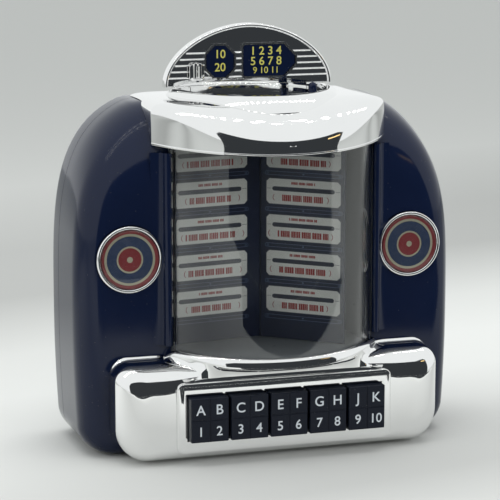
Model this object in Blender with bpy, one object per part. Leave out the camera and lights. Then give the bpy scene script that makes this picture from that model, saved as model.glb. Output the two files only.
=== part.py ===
"""Tabletop jukebox: an arch-fronted plastic housing with a bowed window over two title pages,
a two-tier chrome cap with an upright crest, round badges, and a chrome bezel with five sprung keys.

Lengths are in metres. X runs to the right, the front faces -Y and Z is up. The origin is on the
table, under the middle of the object's box. A depth is measured backwards from the front panel's
face, and a reach forwards from it.
"""
from math import acos, asin, cos, pi, radians, sin, sqrt, tan

import bmesh
import bpy
from mathutils import Matrix, Vector

# Clearances and overruns
GAP = 0.0003                  # between pieces that touch
KEY_CLEARANCE = 0.0004        # round a key's head in the bezel
OVERRUN = 0.0040              # how far a cutter runs past what it cuts
MERGE = 0.0005                # how far two forms of one moulding run into each other

# Housing
HOUSING_WIDTH = 0.1668        # at the waist, its widest
HOUSING_DEPTH = 0.0570        # front panel to rear face
HOUSING_WALL = 0.0024
FOOT_HEIGHT = 0.0010          # the feet stand this far below the housing
WAIST_Z = 0.0550
ARCH_RISE = 0.0970            # waist to the arch's crown, if the arch were whole
ARCH_POWER = 3.8              # exponent of the arch's superellipse
ARCH_TIP_HALF = 0.0040        # the arch's crown is level for this long each side of the middle
SIDE_DRAW = 0.0021            # how far each side draws in from the waist to the base
BASE_CORNER = 0.0125
DECK_Z = 0.1472               # the arch is cut level here, under the cap
TOP_ROUND = 0.0325            # the front's rounding over the top: its height,
TOP_ROUND_DEPTH = 0.0320      # and how far back it runs
SIDE_ROUND = 0.0105           # the same at the sides
SIDE_ROUND_DEPTH = 0.0120
BASE_ROUND = 0.0060           # and along the base
REAR_FILLET = 0.0110
REAR_SHELL_DEPTH = 0.0200
TONGUE = 0.0020               # the rear shell's rim reaches this far into the front shell

# Bosses and screws that hold the two shells together
BOSS_RADIUS = 0.0036
BOSS_SIDE = 0.0194            # boss centre from the housing's widest side
BOSS_LOW_Z = 0.0160
BOSS_HIGH_Z = 0.1000
BOSS_PILOT = 0.0013
SCREW_RADIUS = 0.0011
SCREW_HEAD_RADIUS = 0.0026
SCREW_HEAD_HEIGHT = 0.0018
SCREW_LENGTH = 0.0120
SCREW_WELL_DEPTH = 0.0060
SCREW_SLOT = 0.0008           # width and depth of the cross in the head

# Feet
FOOT_RADIUS = 0.0048
FOOT_SIDE = 0.0274            # foot centre from the housing's widest side
FOOT_INSET = 0.0135           # foot centre from the front panel and from the rear face
FOOT_SEAT = 0.0012            # depth of the recess that a foot is glued in

# Window
WINDOW_HALF = 0.0440          # half the pane's chord
WINDOW_REACH = 0.0265         # the pane's bow, ahead of the panel
WINDOW_END_REACH = 0.0030     # where the bow ends and the pane turns straight back
PANE = 0.0016
PANE_RETURN = 0.0054          # straight stretch at each end of the bow
PANE_TOP_Z = 0.1312
JAMB_REACH = 0.0042           # moulded frame at each side of the window
JAMB_WIDTH = 0.0032
JAMB_FLARE = 0.0050           # concave run from the panel up to the jamb
WINDOW_TOP_Z = 0.1316         # top of the opening in the panel

# Display box behind the window
FLOOR_Z = 0.0432              # top of the floor that the pane and the pages stand on
DISPLAY_WALL = 0.0020
DISPLAY_DEPTH = 0.0365        # front panel to the display box's back
DISPLAY_TOP_Z = 0.1310

# Title pages
PAGE_THICKNESS = 0.0010
PAGE_SHARE = 0.875            # a page's width, in half-widths of the window
PAGE_HEIGHT = 0.0852
SPINE_DEPTH = 0.0215          # depth of the fold behind the front panel
SPINE_HALF = 0.0022           # half the space between the pages at the fold
LEFT_PAGE_SWING = radians(9)
RIGHT_PAGE_SWING = radians(42)

# Badges
BADGE_PLACE_SHARE = 0.4518    # where the badge's middle is between the window and the side
BADGE_SIZE_SHARE = 0.3579     # the badge's radius, in widths of that strip
BADGE_Z = 0.0845
BADGE_RIM = 0.0016
BADGE_PROUD = 0.0016          # ring ahead of the panel
BADGE_SEAT = 0.0010           # recess in the panel
BADGE_DISC = 0.0006
LENS_EDGE = 0.0005
LENS_CROWN = 0.0014

# Cap: crown over the housing and brow over the window
CAP_WALL = 0.0020
BROW_WALL = 0.0012            # wall of the brow's lip, ahead of the pane
CAP_TOP_Z = 0.1488
BROW_REACH = 0.0280
BROW_SIDE = 0.0072            # the brow's bow ends this far outside the window
BROW_ROOT = 0.0030            # the bow ends this far behind the panel's face
BROW_LIP_Z = 0.1285
BROW_LIP_RISE = 0.0028        # the lip rises this much from the middle to its ends
BROW_BAND = 0.0014            # upright band round the lip
BROW_BACK = 0.0060            # depth behind the panel where the brow reaches full height
BROW_POWER = 1.75
CROWN_POWER = 12.0
BROW_NOSE_POWER = 2.3
BROW_TIP_HALF = 0.0020        # the lip is straight for this long each side of the middle
CAP_REAR_FILLET = 0.0020

# Tier and tray on top of the cap
TIER_HALF = 0.0385
TIER_FRONT = 0.0480           # ellipse centre to the tier's front
TIER_BACK = 0.0130            # ellipse centre to the tier's back
TIER_FOOT_Z = 0.1395
TIER_TOP_Z = 0.1512
TIER_ROLL_X = 0.0045          # width of the rounded rim at the sides
TIER_ROLL_Y = 0.0100          # and at the front
TRAY_RIM = 0.0020             # flat of the rim inside the roll
TRAY_DEPTH = 0.0028
TRAY_ROUND = 0.0014

# Crest
CREST_DEPTH = 0.0310          # its face, behind the panel
CREST_THICKNESS = 0.0050
CREST_HALF = 0.0375
CREST_WAIST_RISE = 0.0013     # the curve starts this far above the tier
CREST_RISE = 0.0268           # tier to the crest's top
CREST_POWER = 1.85
CREST_EDGE = 0.0009           # rounding of the plate's edges
CREST_RIM = 0.0021            # plain rim round the ribbed field
CREST_FIELD = 0.0008          # the field lies this far behind the rim
CREST_TAB_HALF = 0.0260
CREST_TAB = 0.0030            # tab that plugs into the cap
RIB_PITCH = 0.0026
RIB_HEIGHT = 0.0008
RIB_WIDTH = 0.0011
RIB_FIRST_RISE = 0.0041       # tier to the lowest rib
RIB_COUNT = 5
PLATE_FRAME = 0.0010          # raised frame round each price plate
PLATE_THICKNESS = 0.0010
LEFT_PLATE_X = -0.0142
LEFT_PLATE_WIDTH = 0.0122
LEFT_PLATE_CUT = 0.0038       # its four corners are cut by this much
RIGHT_PLATE_X = 0.0078
RIGHT_PLATE_WIDTH = 0.0232
RIGHT_PLATE_CUT = 0.0050
PLATE_RISE = 0.0108           # tier to the middle of both price plates
PLATE_HEIGHT = 0.0134
SMALL_CUT = 0.0008

# Coin entry on the crest
COIN_X = -0.0252
COIN_RISE = 0.0066            # tier to its middle
COIN_WIDTH = 0.0066
COIN_HEIGHT = 0.0070
COIN_REACH = 0.0024
COIN_SLIT = 0.0012
COIN_SLIT_HEIGHT = 0.0050
COIN_LIP = 0.0010

# Button in the tray
BUTTON_X = 0.0222
BUTTON_DEPTH = 0.0120
BUTTON_RADIUS = 0.0019
BUTTON_PROUD = 0.0058
BUTTON_TRAVEL = 0.0016
BUTTON_STEM = 0.0011
BUTTON_STOP_Z = 0.1377        # top of the flange that keeps the button in
BUTTON_FLANGE_RADIUS = 0.0030
BUTTON_FLANGE = 0.0010
BUTTON_CLEARANCE = 0.00035
BUTTON_SPRING_WIRE = 0.00022
BUTTON_SPRING_RADIUS = 0.0019
BUTTON_SPRING_TURNS = 3
BUTTON_SWITCH_SIZE = 0.0060
BUTTON_SWITCH_BODY = 0.0012
BUTTON_SWITCH_PLUNGER = 0.0006

# Bezel
BEZEL_HALF = 0.0710
BEZEL_TOP_Z = 0.0400
BEZEL_BASE_Z = 0.0018
BEZEL_REACH = 0.0180
BEZEL_FILLET = 0.0055
BEZEL_TOP_CORNER = 0.0075
BEZEL_BASE_CORNER = 0.0130
BEZEL_WALL = 0.0022
LIP_REACH = 0.0290            # the lip under the window, the object's foremost edge
LIP_Z = 0.0444                # its top in the middle
LIP_RISE = 0.0026             # and how much higher it is at its ends
LIP_NOSE = 0.0014
LIP_BAND = 0.0026
SCOOP_FOOT_Z = 0.0362         # where the scoop under the lip runs into the face
LIP_SKIRT = 0.0056            # spread of the lip's foot over the bezel's shoulders
SCOOP_END_SHARE = 0.55        # the scoop under the lip starts to run out here,
SKIRT_SHARE = 0.85            # and is all skirt from here, in half-widths of the window
PLATEAU_HALF = 0.0465
PLATEAU_LOW_Z = 0.0062
PLATEAU_HIGH_Z = 0.0348
PLATEAU_CORNER = 0.0030
PLATEAU_PROUD = 0.0013
PLATEAU_EDGE = 0.0006

# Keys
KEY_COUNT = 5
KEY_PITCH = 0.0170
KEY_WIDTH = 0.0160
KEY_HEIGHT = 0.0176
KEY_LOW_Z = 0.0117
KEY_PROUD = 0.0049            # beyond the bezel's raised field
KEY_EDGE = 0.0005
KEY_GROOVE = 0.0007           # width of the crossed grooves on a key's face
KEY_GROOVE_DEPTH = 0.0003
KEY_TRAVEL = 0.0018
KEY_TOOTH = 0.0007            # teeth of the opening between the keys
KEY_FLANGE = 0.0012
KEY_FLANGE_LIP = 0.0011       # flange beyond the head, above and below
KEY_WALL = 0.0014
KEY_POST = 0.0018

# Switch board and key springs
BOARD = 0.0016
BOARD_HALF = 0.0440
BOARD_LOW_Z = 0.0085
BOARD_HIGH_Z = 0.0330
PAD_HEIGHT = 0.0015
PAD_RADIUS = 0.0024
PAD_X = 0.0400
SWITCH_SIZE = 0.0062
SWITCH_BODY = 0.0035
SWITCH_PLUNGER = 0.0010
SWITCH_PLUNGER_RADIUS = 0.0016
KEY_SPRING_RADIUS = 0.0025
KEY_SPRING_WIRE = 0.00028
KEY_SPRING_TURNS = 4

# Speaker
SPEAKER_Z = 0.1020
SPEAKER_RADIUS = 0.0250
SPEAKER_FLANGE = 0.0014
SPEAKER_DEPTH = 0.0110
SPEAKER_NECK = 0.0120
SPEAKER_CONE_RADIUS = 0.0205
SPEAKER_SHEET = 0.0010
MAGNET_RADIUS = 0.0140
MAGNET_DEPTH = 0.0040
GRILLE_RADIUS = 0.0200
GRILLE_SLOT = 0.0022
GRILLE_PITCH = 0.0050
GRILLE_COUNT = 7

# Sound board and its switch
SOUND_BOARD_WIDTH = 0.0560
SOUND_BOARD_LOW_Z = 0.0475
SOUND_BOARD_HIGH_Z = 0.0720
SOUND_BOARD_STANDOFF = 0.0060
SOUND_POST_RADIUS = 0.0022
CHIP_SIZE = 0.0090
CHIP_HEIGHT = 0.0016
SLIDE_X = 0.0150
SLIDE_Z = 0.0600
SLIDE_BODY_WIDTH = 0.0110
SLIDE_BODY_HEIGHT = 0.0050
SLIDE_BODY_DEPTH = 0.0030
SLIDE_KNOB_WIDTH = 0.0034
SLIDE_KNOB_HEIGHT = 0.0030
SLIDE_TRAVEL = 0.0040
SLIDE_DISH = 0.0012           # dish in the rear face round the knob
SLIDE_DISH_MARGIN = 0.0016

# Batteries, tray and door
CELL_RADIUS = 0.00525
CELL_LENGTH = 0.0432
CELL_NUB_RADIUS = 0.0019
CELL_NUB = 0.0010
CELL_COUNT = 3
CELL_GAP = 0.0005
TRAY_WALL = 0.0016
TRAY_LOW_Z = 0.0092
CONTACT = 0.0005
CONTACT_ROOM = 0.0016
DOOR_THICKNESS = 0.0020
DOOR_GAP = 0.0004
HINGE_RADIUS = 0.0016
HINGE_PIN_RADIUS = 0.0006
HINGE_BORE_RADIUS = 0.0008
HINGE_EAR = 0.0030
DOOR_GRIP_WIDTH = 0.0140
DOOR_GRIP = 0.0012

# Facets
ARC_STEPS = 5                 # steps of a small rounding
ARCH_STEPS = 10               # steps of half the arch
ROUND_STEPS = 7               # steps of the front's rounding
CAP_STEPS = 12                # sections of the brow
BOW_STEPS = 18                # steps across the window's bow
RING_STEPS = 32               # steps round a large circle
DISC_STEPS = 16               # steps round a small one

# Worked out from the sizes above
PANEL_Y = (LIP_REACH - HOUSING_DEPTH) / 2
REAR_Y = PANEL_Y + HOUSING_DEPTH
SPLIT_Y = REAR_Y - REAR_SHELL_DEPTH
HOUSING_HALF = HOUSING_WIDTH / 2
BOSS_X = HOUSING_HALF - BOSS_SIDE
FOOT_X = HOUSING_HALF - FOOT_SIDE
FLOOR_BOTTOM_Z = FLOOR_Z - DISPLAY_WALL
DISPLAY_HALF = WINDOW_HALF
PAGE_WIDTH = PAGE_SHARE * WINDOW_HALF
BADGE_X = WINDOW_HALF + BADGE_PLACE_SHARE * (HOUSING_HALF - WINDOW_HALF)
BADGE_RADIUS = BADGE_SIZE_SHARE * (HOUSING_HALF - WINDOW_HALF)
BROW_HALF = WINDOW_HALF + BROW_SIDE
BOW_SAGITTA = WINDOW_REACH - WINDOW_END_REACH
BOW_RADIUS = (WINDOW_HALF ** 2 + BOW_SAGITTA ** 2) / (2 * BOW_SAGITTA)
BOW_CENTRE_Y = PANEL_Y - WINDOW_REACH + BOW_RADIUS
BOW_ANGLE = asin(WINDOW_HALF / BOW_RADIUS)
BROW_SAGITTA = BROW_REACH + BROW_ROOT
BROW_RADIUS = (BROW_HALF ** 2 + BROW_SAGITTA ** 2) / (2 * BROW_SAGITTA)
CREST_Y = PANEL_Y + CREST_DEPTH
TRAY_Z = TIER_TOP_Z - TRAY_DEPTH
CREST_WAIST_Z = TIER_TOP_Z + CREST_WAIST_RISE
CREST_TOP_Z = TIER_TOP_Z + CREST_RISE
RIB_FIRST_Z = TIER_TOP_Z + RIB_FIRST_RISE
PLATE_Z = TIER_TOP_Z + PLATE_RISE
COIN_Z = TIER_TOP_Z + COIN_RISE
KEY_HIGH_Z = KEY_LOW_Z + KEY_HEIGHT
KEY_MID_Z = KEY_LOW_Z + KEY_HEIGHT / 2
FIELD_Y = PANEL_Y - BEZEL_REACH - PLATEAU_PROUD
KEY_FACE_Y = FIELD_Y - KEY_PROUD
BEZEL_BACK_Y = PANEL_Y - BEZEL_REACH + BEZEL_WALL
BOARD_Y = PANEL_Y - PAD_HEIGHT - GAP


# Small tools

def clear_scene():
    for thing in list(bpy.data.objects):
        bpy.data.objects.remove(thing, do_unlink=True)


def material(name, colour, roughness, metallic=0.0, clear=0.0):
    made = bpy.data.materials.new(name)
    made.use_nodes = True
    shader = made.node_tree.nodes["Principled BSDF"]
    shader.inputs["Base Color"].default_value = (*colour, 1.0)
    shader.inputs["Roughness"].default_value = roughness
    shader.inputs["Metallic"].default_value = metallic
    shader.inputs["Transmission Weight"].default_value = clear
    return made


def place(name, bm, finish=None, smooth=radians(40)):
    """Turn a bmesh into an object; a piece with no finish is a cutter or a form to join."""
    bmesh.ops.recalc_face_normals(bm, faces=bm.faces)
    mesh = bpy.data.meshes.new(name)
    bm.to_mesh(mesh)
    bm.free()
    mesh.shade_smooth()
    mesh.set_sharp_from_angle(angle=smooth)
    thing = bpy.data.objects.new(name, mesh)
    bpy.context.scene.collection.objects.link(thing)
    if finish is None:
        thing.hide_render = True
        thing.display_type = "WIRE"
    else:
        mesh.materials.append(finish)
    return thing


def add_rings(bm, rings):
    """Skin a run of closed rings of equal count, and close both ends."""
    rows = [[bm.verts.new(point) for point in ring] for ring in rings]
    count = len(rows[0])
    for low, high in zip(rows, rows[1:]):
        for i in range(count):
            j = (i + 1) % count
            bm.faces.new((low[i], low[j], high[j], high[i]))
    bm.faces.new(rows[0])
    bm.faces.new(rows[-1])
    return bm


def rings_object(name, rings, finish=None, smooth=radians(40)):
    return place(name, add_rings(bmesh.new(), rings), finish, smooth)


def add_box(bm, x0, x1, y0, y1, z0, z1):
    base = [(x0, y0), (x1, y0), (x1, y1), (x0, y1)]
    return add_rings(bm, [[(x, y, z) for x, y in base] for z in (z0, z1)])


def box_object(name, x0, x1, y0, y1, z0, z1, finish=None):
    return place(name, add_box(bmesh.new(), x0, x1, y0, y1, z0, z1), finish)


def add_turned(bm, centre, profile, axis="Y", steps=DISC_STEPS):
    """Turn (radius, distance along the axis) pairs round a line through centre."""
    rings = []
    for radius, along in profile:
        ring = []
        for i in range(steps):
            turn = 2 * pi * i / steps
            a, b = radius * cos(turn), radius * sin(turn)
            offset = {"X": (along, a, b), "Y": (a, along, b), "Z": (a, b, along)}[axis]
            ring.append(Vector(centre) + Vector(offset))
        rings.append(ring)
    return add_rings(bm, rings)


def turned_object(name, centre, profile, axis="Y", steps=DISC_STEPS, finish=None):
    return place(name, add_turned(bmesh.new(), centre, profile, axis, steps), finish)


def turned_ring_object(name, centre, profile, axis, steps, finish):
    """Turn a closed profile that stays clear of its axis."""
    bm = bmesh.new()
    rows = []
    for radius, along in profile:
        row = []
        for i in range(steps):
            turn = 2 * pi * i / steps
            a, b = radius * cos(turn), radius * sin(turn)
            offset = {"X": (along, a, b), "Y": (a, along, b), "Z": (a, b, along)}[axis]
            row.append(bm.verts.new(Vector(centre) + Vector(offset)))
        rows.append(row)
    for low, high in zip(rows, rows[1:] + rows[:1]):
        for i in range(steps):
            j = (i + 1) % steps
            bm.faces.new((low[i], low[j], high[j], high[i]))
    return place(name, bm, finish)


def add_extruded(bm, outline, low, high, along="Z"):
    """Extrude an outline: (x, y) pairs along Z, or (x, z) pairs along Y."""
    if along == "Z":
        rings = [[(a, b, level) for a, b in outline] for level in (low, high)]
    else:
        rings = [[(a, level, b) for a, b in outline] for level in (low, high)]
    return add_rings(bm, rings)


def extruded_object(name, outline, low, high, along="Z", finish=None):
    return place(name, add_extruded(bmesh.new(), outline, low, high, along), finish)


def combine(target, tool, operation):
    step = target.modifiers.new(operation.lower() + "_" + tool.name, "BOOLEAN")
    step.operation = operation
    step.solver = "EXACT"
    step.object = tool
    return target


def cut(target, tool):
    return combine(target, tool, "DIFFERENCE")


def join(target, tool):
    return combine(target, tool, "UNION")


def offset_outline(points, inset):
    """Move each side of a closed anticlockwise outline inwards by inset."""
    moved = []
    count = len(points)
    for i in range(count):
        before, here, after = (Vector(points[(i + k) % count]) for k in (-1, 0, 1))
        first = (here - before).normalized()
        second = (after - here).normalized()
        inward = Vector((-first.y - second.y, first.x + second.x))
        inward.normalize()
        share = inward.dot(Vector((-first.y, first.x)))
        moved.append(tuple(here + inward * (inset / share)))
    return moved


def arc(centre_a, centre_b, radius, start, end, steps):
    """Points of an arc, angles in radians, both ends included."""
    turns = [start + (end - start) * i / steps for i in range(steps + 1)]
    return [(centre_a + radius * cos(t), centre_b + radius * sin(t)) for t in turns]


def rounded_box_outline(x0, x1, z0, z1, radii, steps=ARC_STEPS):
    """Anticlockwise outline with its own radius at each corner, from low left."""
    low_left, low_right, high_right, high_left = radii
    outline = arc(x0 + low_left, z0 + low_left, low_left, pi, 1.5 * pi, steps)
    outline += arc(x1 - low_right, z0 + low_right, low_right, 1.5 * pi, 2 * pi, steps)
    outline += arc(x1 - high_right, z1 - high_right, high_right, 0, 0.5 * pi, steps)
    outline += arc(x0 + high_left, z1 - high_left, high_left, 0.5 * pi, pi, steps)
    return outline


def cut_box_outline(x0, x1, z0, z1, cuts):
    """Anticlockwise outline with each corner cut at 45 degrees, from low left."""
    low_left, low_right, high_right, high_left = cuts
    return [(x0, z0 + low_left), (x0 + low_left, z0), (x1 - low_right, z0), (x1, z0 + low_right),
            (x1, z1 - high_right), (x1 - high_right, z1), (x0 + high_left, z1), (x0, z1 - high_left)]


def smooth_step(low, high, value):
    share = min(1, max(0, (value - low) / (high - low)))
    return share * share * (3 - 2 * share)


def blend(a, b, share):
    return a + (b - a) * share


def coil_object(name, centre, radius, wire, turns, length, axis, finish):
    """A compression spring as one round wire, with its first end at centre."""
    points_per_turn = 8
    curve = bpy.data.curves.new(name, "CURVE")
    curve.dimensions = "3D"
    curve.bevel_depth = wire
    curve.bevel_resolution = 0
    curve.use_fill_caps = True
    count = turns * points_per_turn + 1
    spline = curve.splines.new("POLY")
    spline.points.add(count - 1)
    for i in range(count):
        turn = 2 * pi * i / points_per_turn
        along = wire + (length - 2 * wire) * i / (count - 1)
        a, b = radius * cos(turn), radius * sin(turn)
        offset = (a, -along, b) if axis == "Y" else (a, b, along)
        spline.points[i].co = (*(Vector(centre) + Vector(offset)), 1)
    curve.materials.append(finish)
    thing = bpy.data.objects.new(name, curve)
    bpy.context.scene.collection.objects.link(thing)
    return thing


def hang_on_axis(thing, point):
    """Put a moving piece's origin on its joint's axis without moving the piece."""
    thing.data.transform(Matrix.Translation(-Vector(point)))
    thing.location = point
    for step in thing.modifiers:
        if step.type == "BOOLEAN":
            step.object.parent = thing
            step.object.location = -Vector(point)
    return thing


# Housing shells

def arch_outline(wall=0.0, side_in=0.0, top_in=0.0, base_in=0.0):
    """The housing's outline in front view, anticlockwise, drawn in by a wall and by roundings."""
    corner = BASE_CORNER - wall
    corner_z = FOOT_HEIGHT + wall + base_in + corner
    widest = HOUSING_HALF - wall - side_in

    def half_below_waist(z):
        share = (WAIST_Z - z) / (WAIST_Z - FOOT_HEIGHT)
        return widest - SIDE_DRAW * share * share

    right = arc(half_below_waist(corner_z) - corner, corner_z, corner, -0.5 * pi, 0, ARC_STEPS + 1)
    for i in range(1, ARC_STEPS):
        z = blend(corner_z, WAIST_Z, i / ARC_STEPS)
        right.append((half_below_waist(z), z))
    rise = ARCH_RISE - wall - top_in
    top_turn = acos((ARCH_TIP_HALF / widest) ** (ARCH_POWER / 2))
    level_share = (DECK_Z - wall - WAIST_Z) / rise
    if level_share < 1:
        top_turn = min(top_turn, asin(level_share ** (ARCH_POWER / 2)))
    for i in range(ARCH_STEPS + 1):
        turn = top_turn * i / ARCH_STEPS
        right.append((widest * cos(turn) ** (2 / ARCH_POWER),
                      WAIST_Z + rise * sin(turn) ** (2 / ARCH_POWER)))
    return right + [(-x, z) for x, z in reversed(right)]


def round_in(depth, deep, tall):
    """How far a rounding draws the outline in at a depth behind the face it starts from."""
    share = min(1, max(0, 1 - depth / deep))
    return tall * (1 - sqrt(1 - share * share))


def front_rings(wall):
    """Rings over the front's rounding, from its face backwards, for a skin this far inside."""
    rings = []
    for i in range(ROUND_STEPS + 1):
        inner = (TOP_ROUND_DEPTH - wall) * (i / ROUND_STEPS) ** 2
        outline = arch_outline(wall, round_in(inner, SIDE_ROUND_DEPTH - wall, SIDE_ROUND - wall),
                               round_in(inner, TOP_ROUND_DEPTH - wall, TOP_ROUND - wall),
                               round_in(inner, BASE_ROUND - wall, BASE_ROUND - wall))
        rings.append([(x, PANEL_Y + wall + inner, z) for x, z in outline])
    return rings


def rear_rings(wall):
    """Rings over the rear's rounding, from its face forwards, for a skin this far inside."""
    rings = []
    radius = REAR_FILLET - wall
    for i in range(ARC_STEPS + 1):
        turn = 0.5 * pi * i / ARC_STEPS
        share = 1 - sin(turn)
        outline = arch_outline(wall, radius * share, radius * share, (BASE_ROUND - wall) * share)
        rings.append([(x, REAR_Y - wall - radius * (1 - cos(turn)), z) for x, z in outline])
    return rings


def straight_ring(wall, y):
    return [(x, y, z) for x, z in arch_outline(wall)]


def boss_places():
    return [(side * BOSS_X, z) for side in (-1, 1) for z in (BOSS_LOW_Z, BOSS_HIGH_Z)]


def jamb_outline(side):
    """Plan of the moulded frame at one side of the window, flaring out of the panel."""
    inner = WINDOW_HALF + GAP
    outer = inner + JAMB_WIDTH
    nose = JAMB_WIDTH / 2
    tip_y = PANEL_Y - JAMB_REACH
    root_y = PANEL_Y + HOUSING_WALL - MERGE
    points = [(inner, root_y), (inner, tip_y + nose)]
    points += [(inner + nose + nose * cos(t), tip_y + nose - nose * sin(t))
               for t in (pi * (1 - i / ARC_STEPS) for i in range(1, ARC_STEPS))]
    rise = JAMB_REACH - nose
    for i in range(ARC_STEPS + 1):
        turn = 0.5 * pi * i / ARC_STEPS
        points.append((outer + JAMB_FLARE * (1 - cos(turn)), PANEL_Y - rise + rise * sin(turn)))
    points.append((outer + JAMB_FLARE, root_y))
    return [(side * x, y) for x, y in points]


def front_shell(navy):
    rebate = HOUSING_WALL / 2
    rim = [straight_ring(0, SPLIT_Y), straight_ring(rebate, SPLIT_Y),
           straight_ring(rebate, SPLIT_Y - TONGUE), straight_ring(HOUSING_WALL, SPLIT_Y - TONGUE)]
    shell = rings_object("front_shell", front_rings(0) + rim + front_rings(HOUSING_WALL)[::-1], navy)
    window = box_object("window_opening", -WINDOW_HALF - GAP, WINDOW_HALF + GAP,
                        PANEL_Y - OVERRUN, PANEL_Y + HOUSING_WALL + OVERRUN,
                        FLOOR_BOTTOM_Z - GAP, WINDOW_TOP_Z)
    cut(shell, window)
    bm = bmesh.new()
    for side in (-1, 1):
        add_extruded(bm, jamb_outline(side), LIP_Z + LIP_RISE + 2 * GAP, BROW_LIP_Z)
    join(shell, place("window_jambs", bm))
    bm = bmesh.new()
    for x, z in boss_places():
        add_turned(bm, (x, 0, z), [(BOSS_RADIUS, PANEL_Y + HOUSING_WALL - MERGE),
                                   (BOSS_RADIUS, SPLIT_Y - TONGUE)], steps=DISC_STEPS // 2)
    join(shell, place("front_bosses", bm))
    bm = bmesh.new()
    for x, z in boss_places():
        add_turned(bm, (x, 0, z), [(BOSS_PILOT, SPLIT_Y - TONGUE - SCREW_LENGTH),
                                   (BOSS_PILOT, SPLIT_Y)], steps=DISC_STEPS // 2)
    for side in (-1, 1):
        seat = BADGE_RADIUS + GAP
        add_turned(bm, (side * BADGE_X, PANEL_Y, BADGE_Z), [(seat, -OVERRUN), (seat, BADGE_SEAT)],
                   steps=RING_STEPS)
        add_turned(bm, (side * FOOT_X, PANEL_Y + FOOT_INSET, FOOT_HEIGHT), foot_profile(GAP), "Z")
    add_turned(bm, (BUTTON_X, PANEL_Y + BUTTON_DEPTH, DECK_Z),
               [(BUTTON_STEM + BUTTON_CLEARANCE, BUTTON_STOP_Z - DECK_Z),
                (BUTTON_STEM + BUTTON_CLEARANCE, OVERRUN)], "Z", DISC_STEPS // 2)
    cut(shell, place("front_holes", bm))
    bm = bmesh.new()
    for x in (-PAD_X, PAD_X):
        for z in (BOARD_LOW_Z + PAD_RADIUS, BOARD_HIGH_Z - PAD_RADIUS):
            add_turned(bm, (x, PANEL_Y, z), [(PAD_RADIUS, -PAD_HEIGHT), (PAD_RADIUS, MERGE)],
                       steps=DISC_STEPS // 2)
    join(shell, place("board_pads", bm))
    return shell


def foot_profile(clearance=0.0):
    """Foot or its recess, up from the housing's base; the recess runs out below."""
    radius = FOOT_RADIUS + clearance
    low = -OVERRUN if clearance else -FOOT_HEIGHT
    return [(radius, low), (radius, FOOT_SEAT + clearance)]


def grille_outline(row):
    """One slot of the speaker grille, its ends on the grille's circle."""
    z = (row - (GRILLE_COUNT - 1) / 2) * GRILLE_PITCH
    half = sqrt(GRILLE_RADIUS ** 2 - z * z) - GRILLE_SLOT / 2
    radius = GRILLE_SLOT / 2
    outline = arc(-half, SPEAKER_Z + z, radius, 0.5 * pi, 1.5 * pi, ARC_STEPS - 1)
    return outline + arc(half, SPEAKER_Z + z, radius, -0.5 * pi, 0.5 * pi, ARC_STEPS - 1)


def tray_outer():
    """The battery tray's outer box: half-width, low and high edge, front and back."""
    half = CELL_LENGTH / 2 + CELL_NUB + CONTACT_ROOM + TRAY_WALL
    high = TRAY_LOW_Z + 2 * TRAY_WALL + CELL_COUNT * 2 * CELL_RADIUS + (CELL_COUNT + 1) * CELL_GAP
    back = REAR_Y - HOUSING_WALL - GAP
    front = back - TRAY_WALL - 2 * CELL_RADIUS - CELL_GAP
    return half, TRAY_LOW_Z, high, front, back


def door_box():
    """The battery door's half-width and its low and high edge."""
    half, low, high, _, _ = tray_outer()
    return half - TRAY_WALL, low + TRAY_WALL, high - TRAY_WALL


def hinge_axis():
    """The door's hinge line: its depth in Y and its height."""
    return REAR_Y - HINGE_RADIUS, door_box()[1] + HINGE_RADIUS


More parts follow.
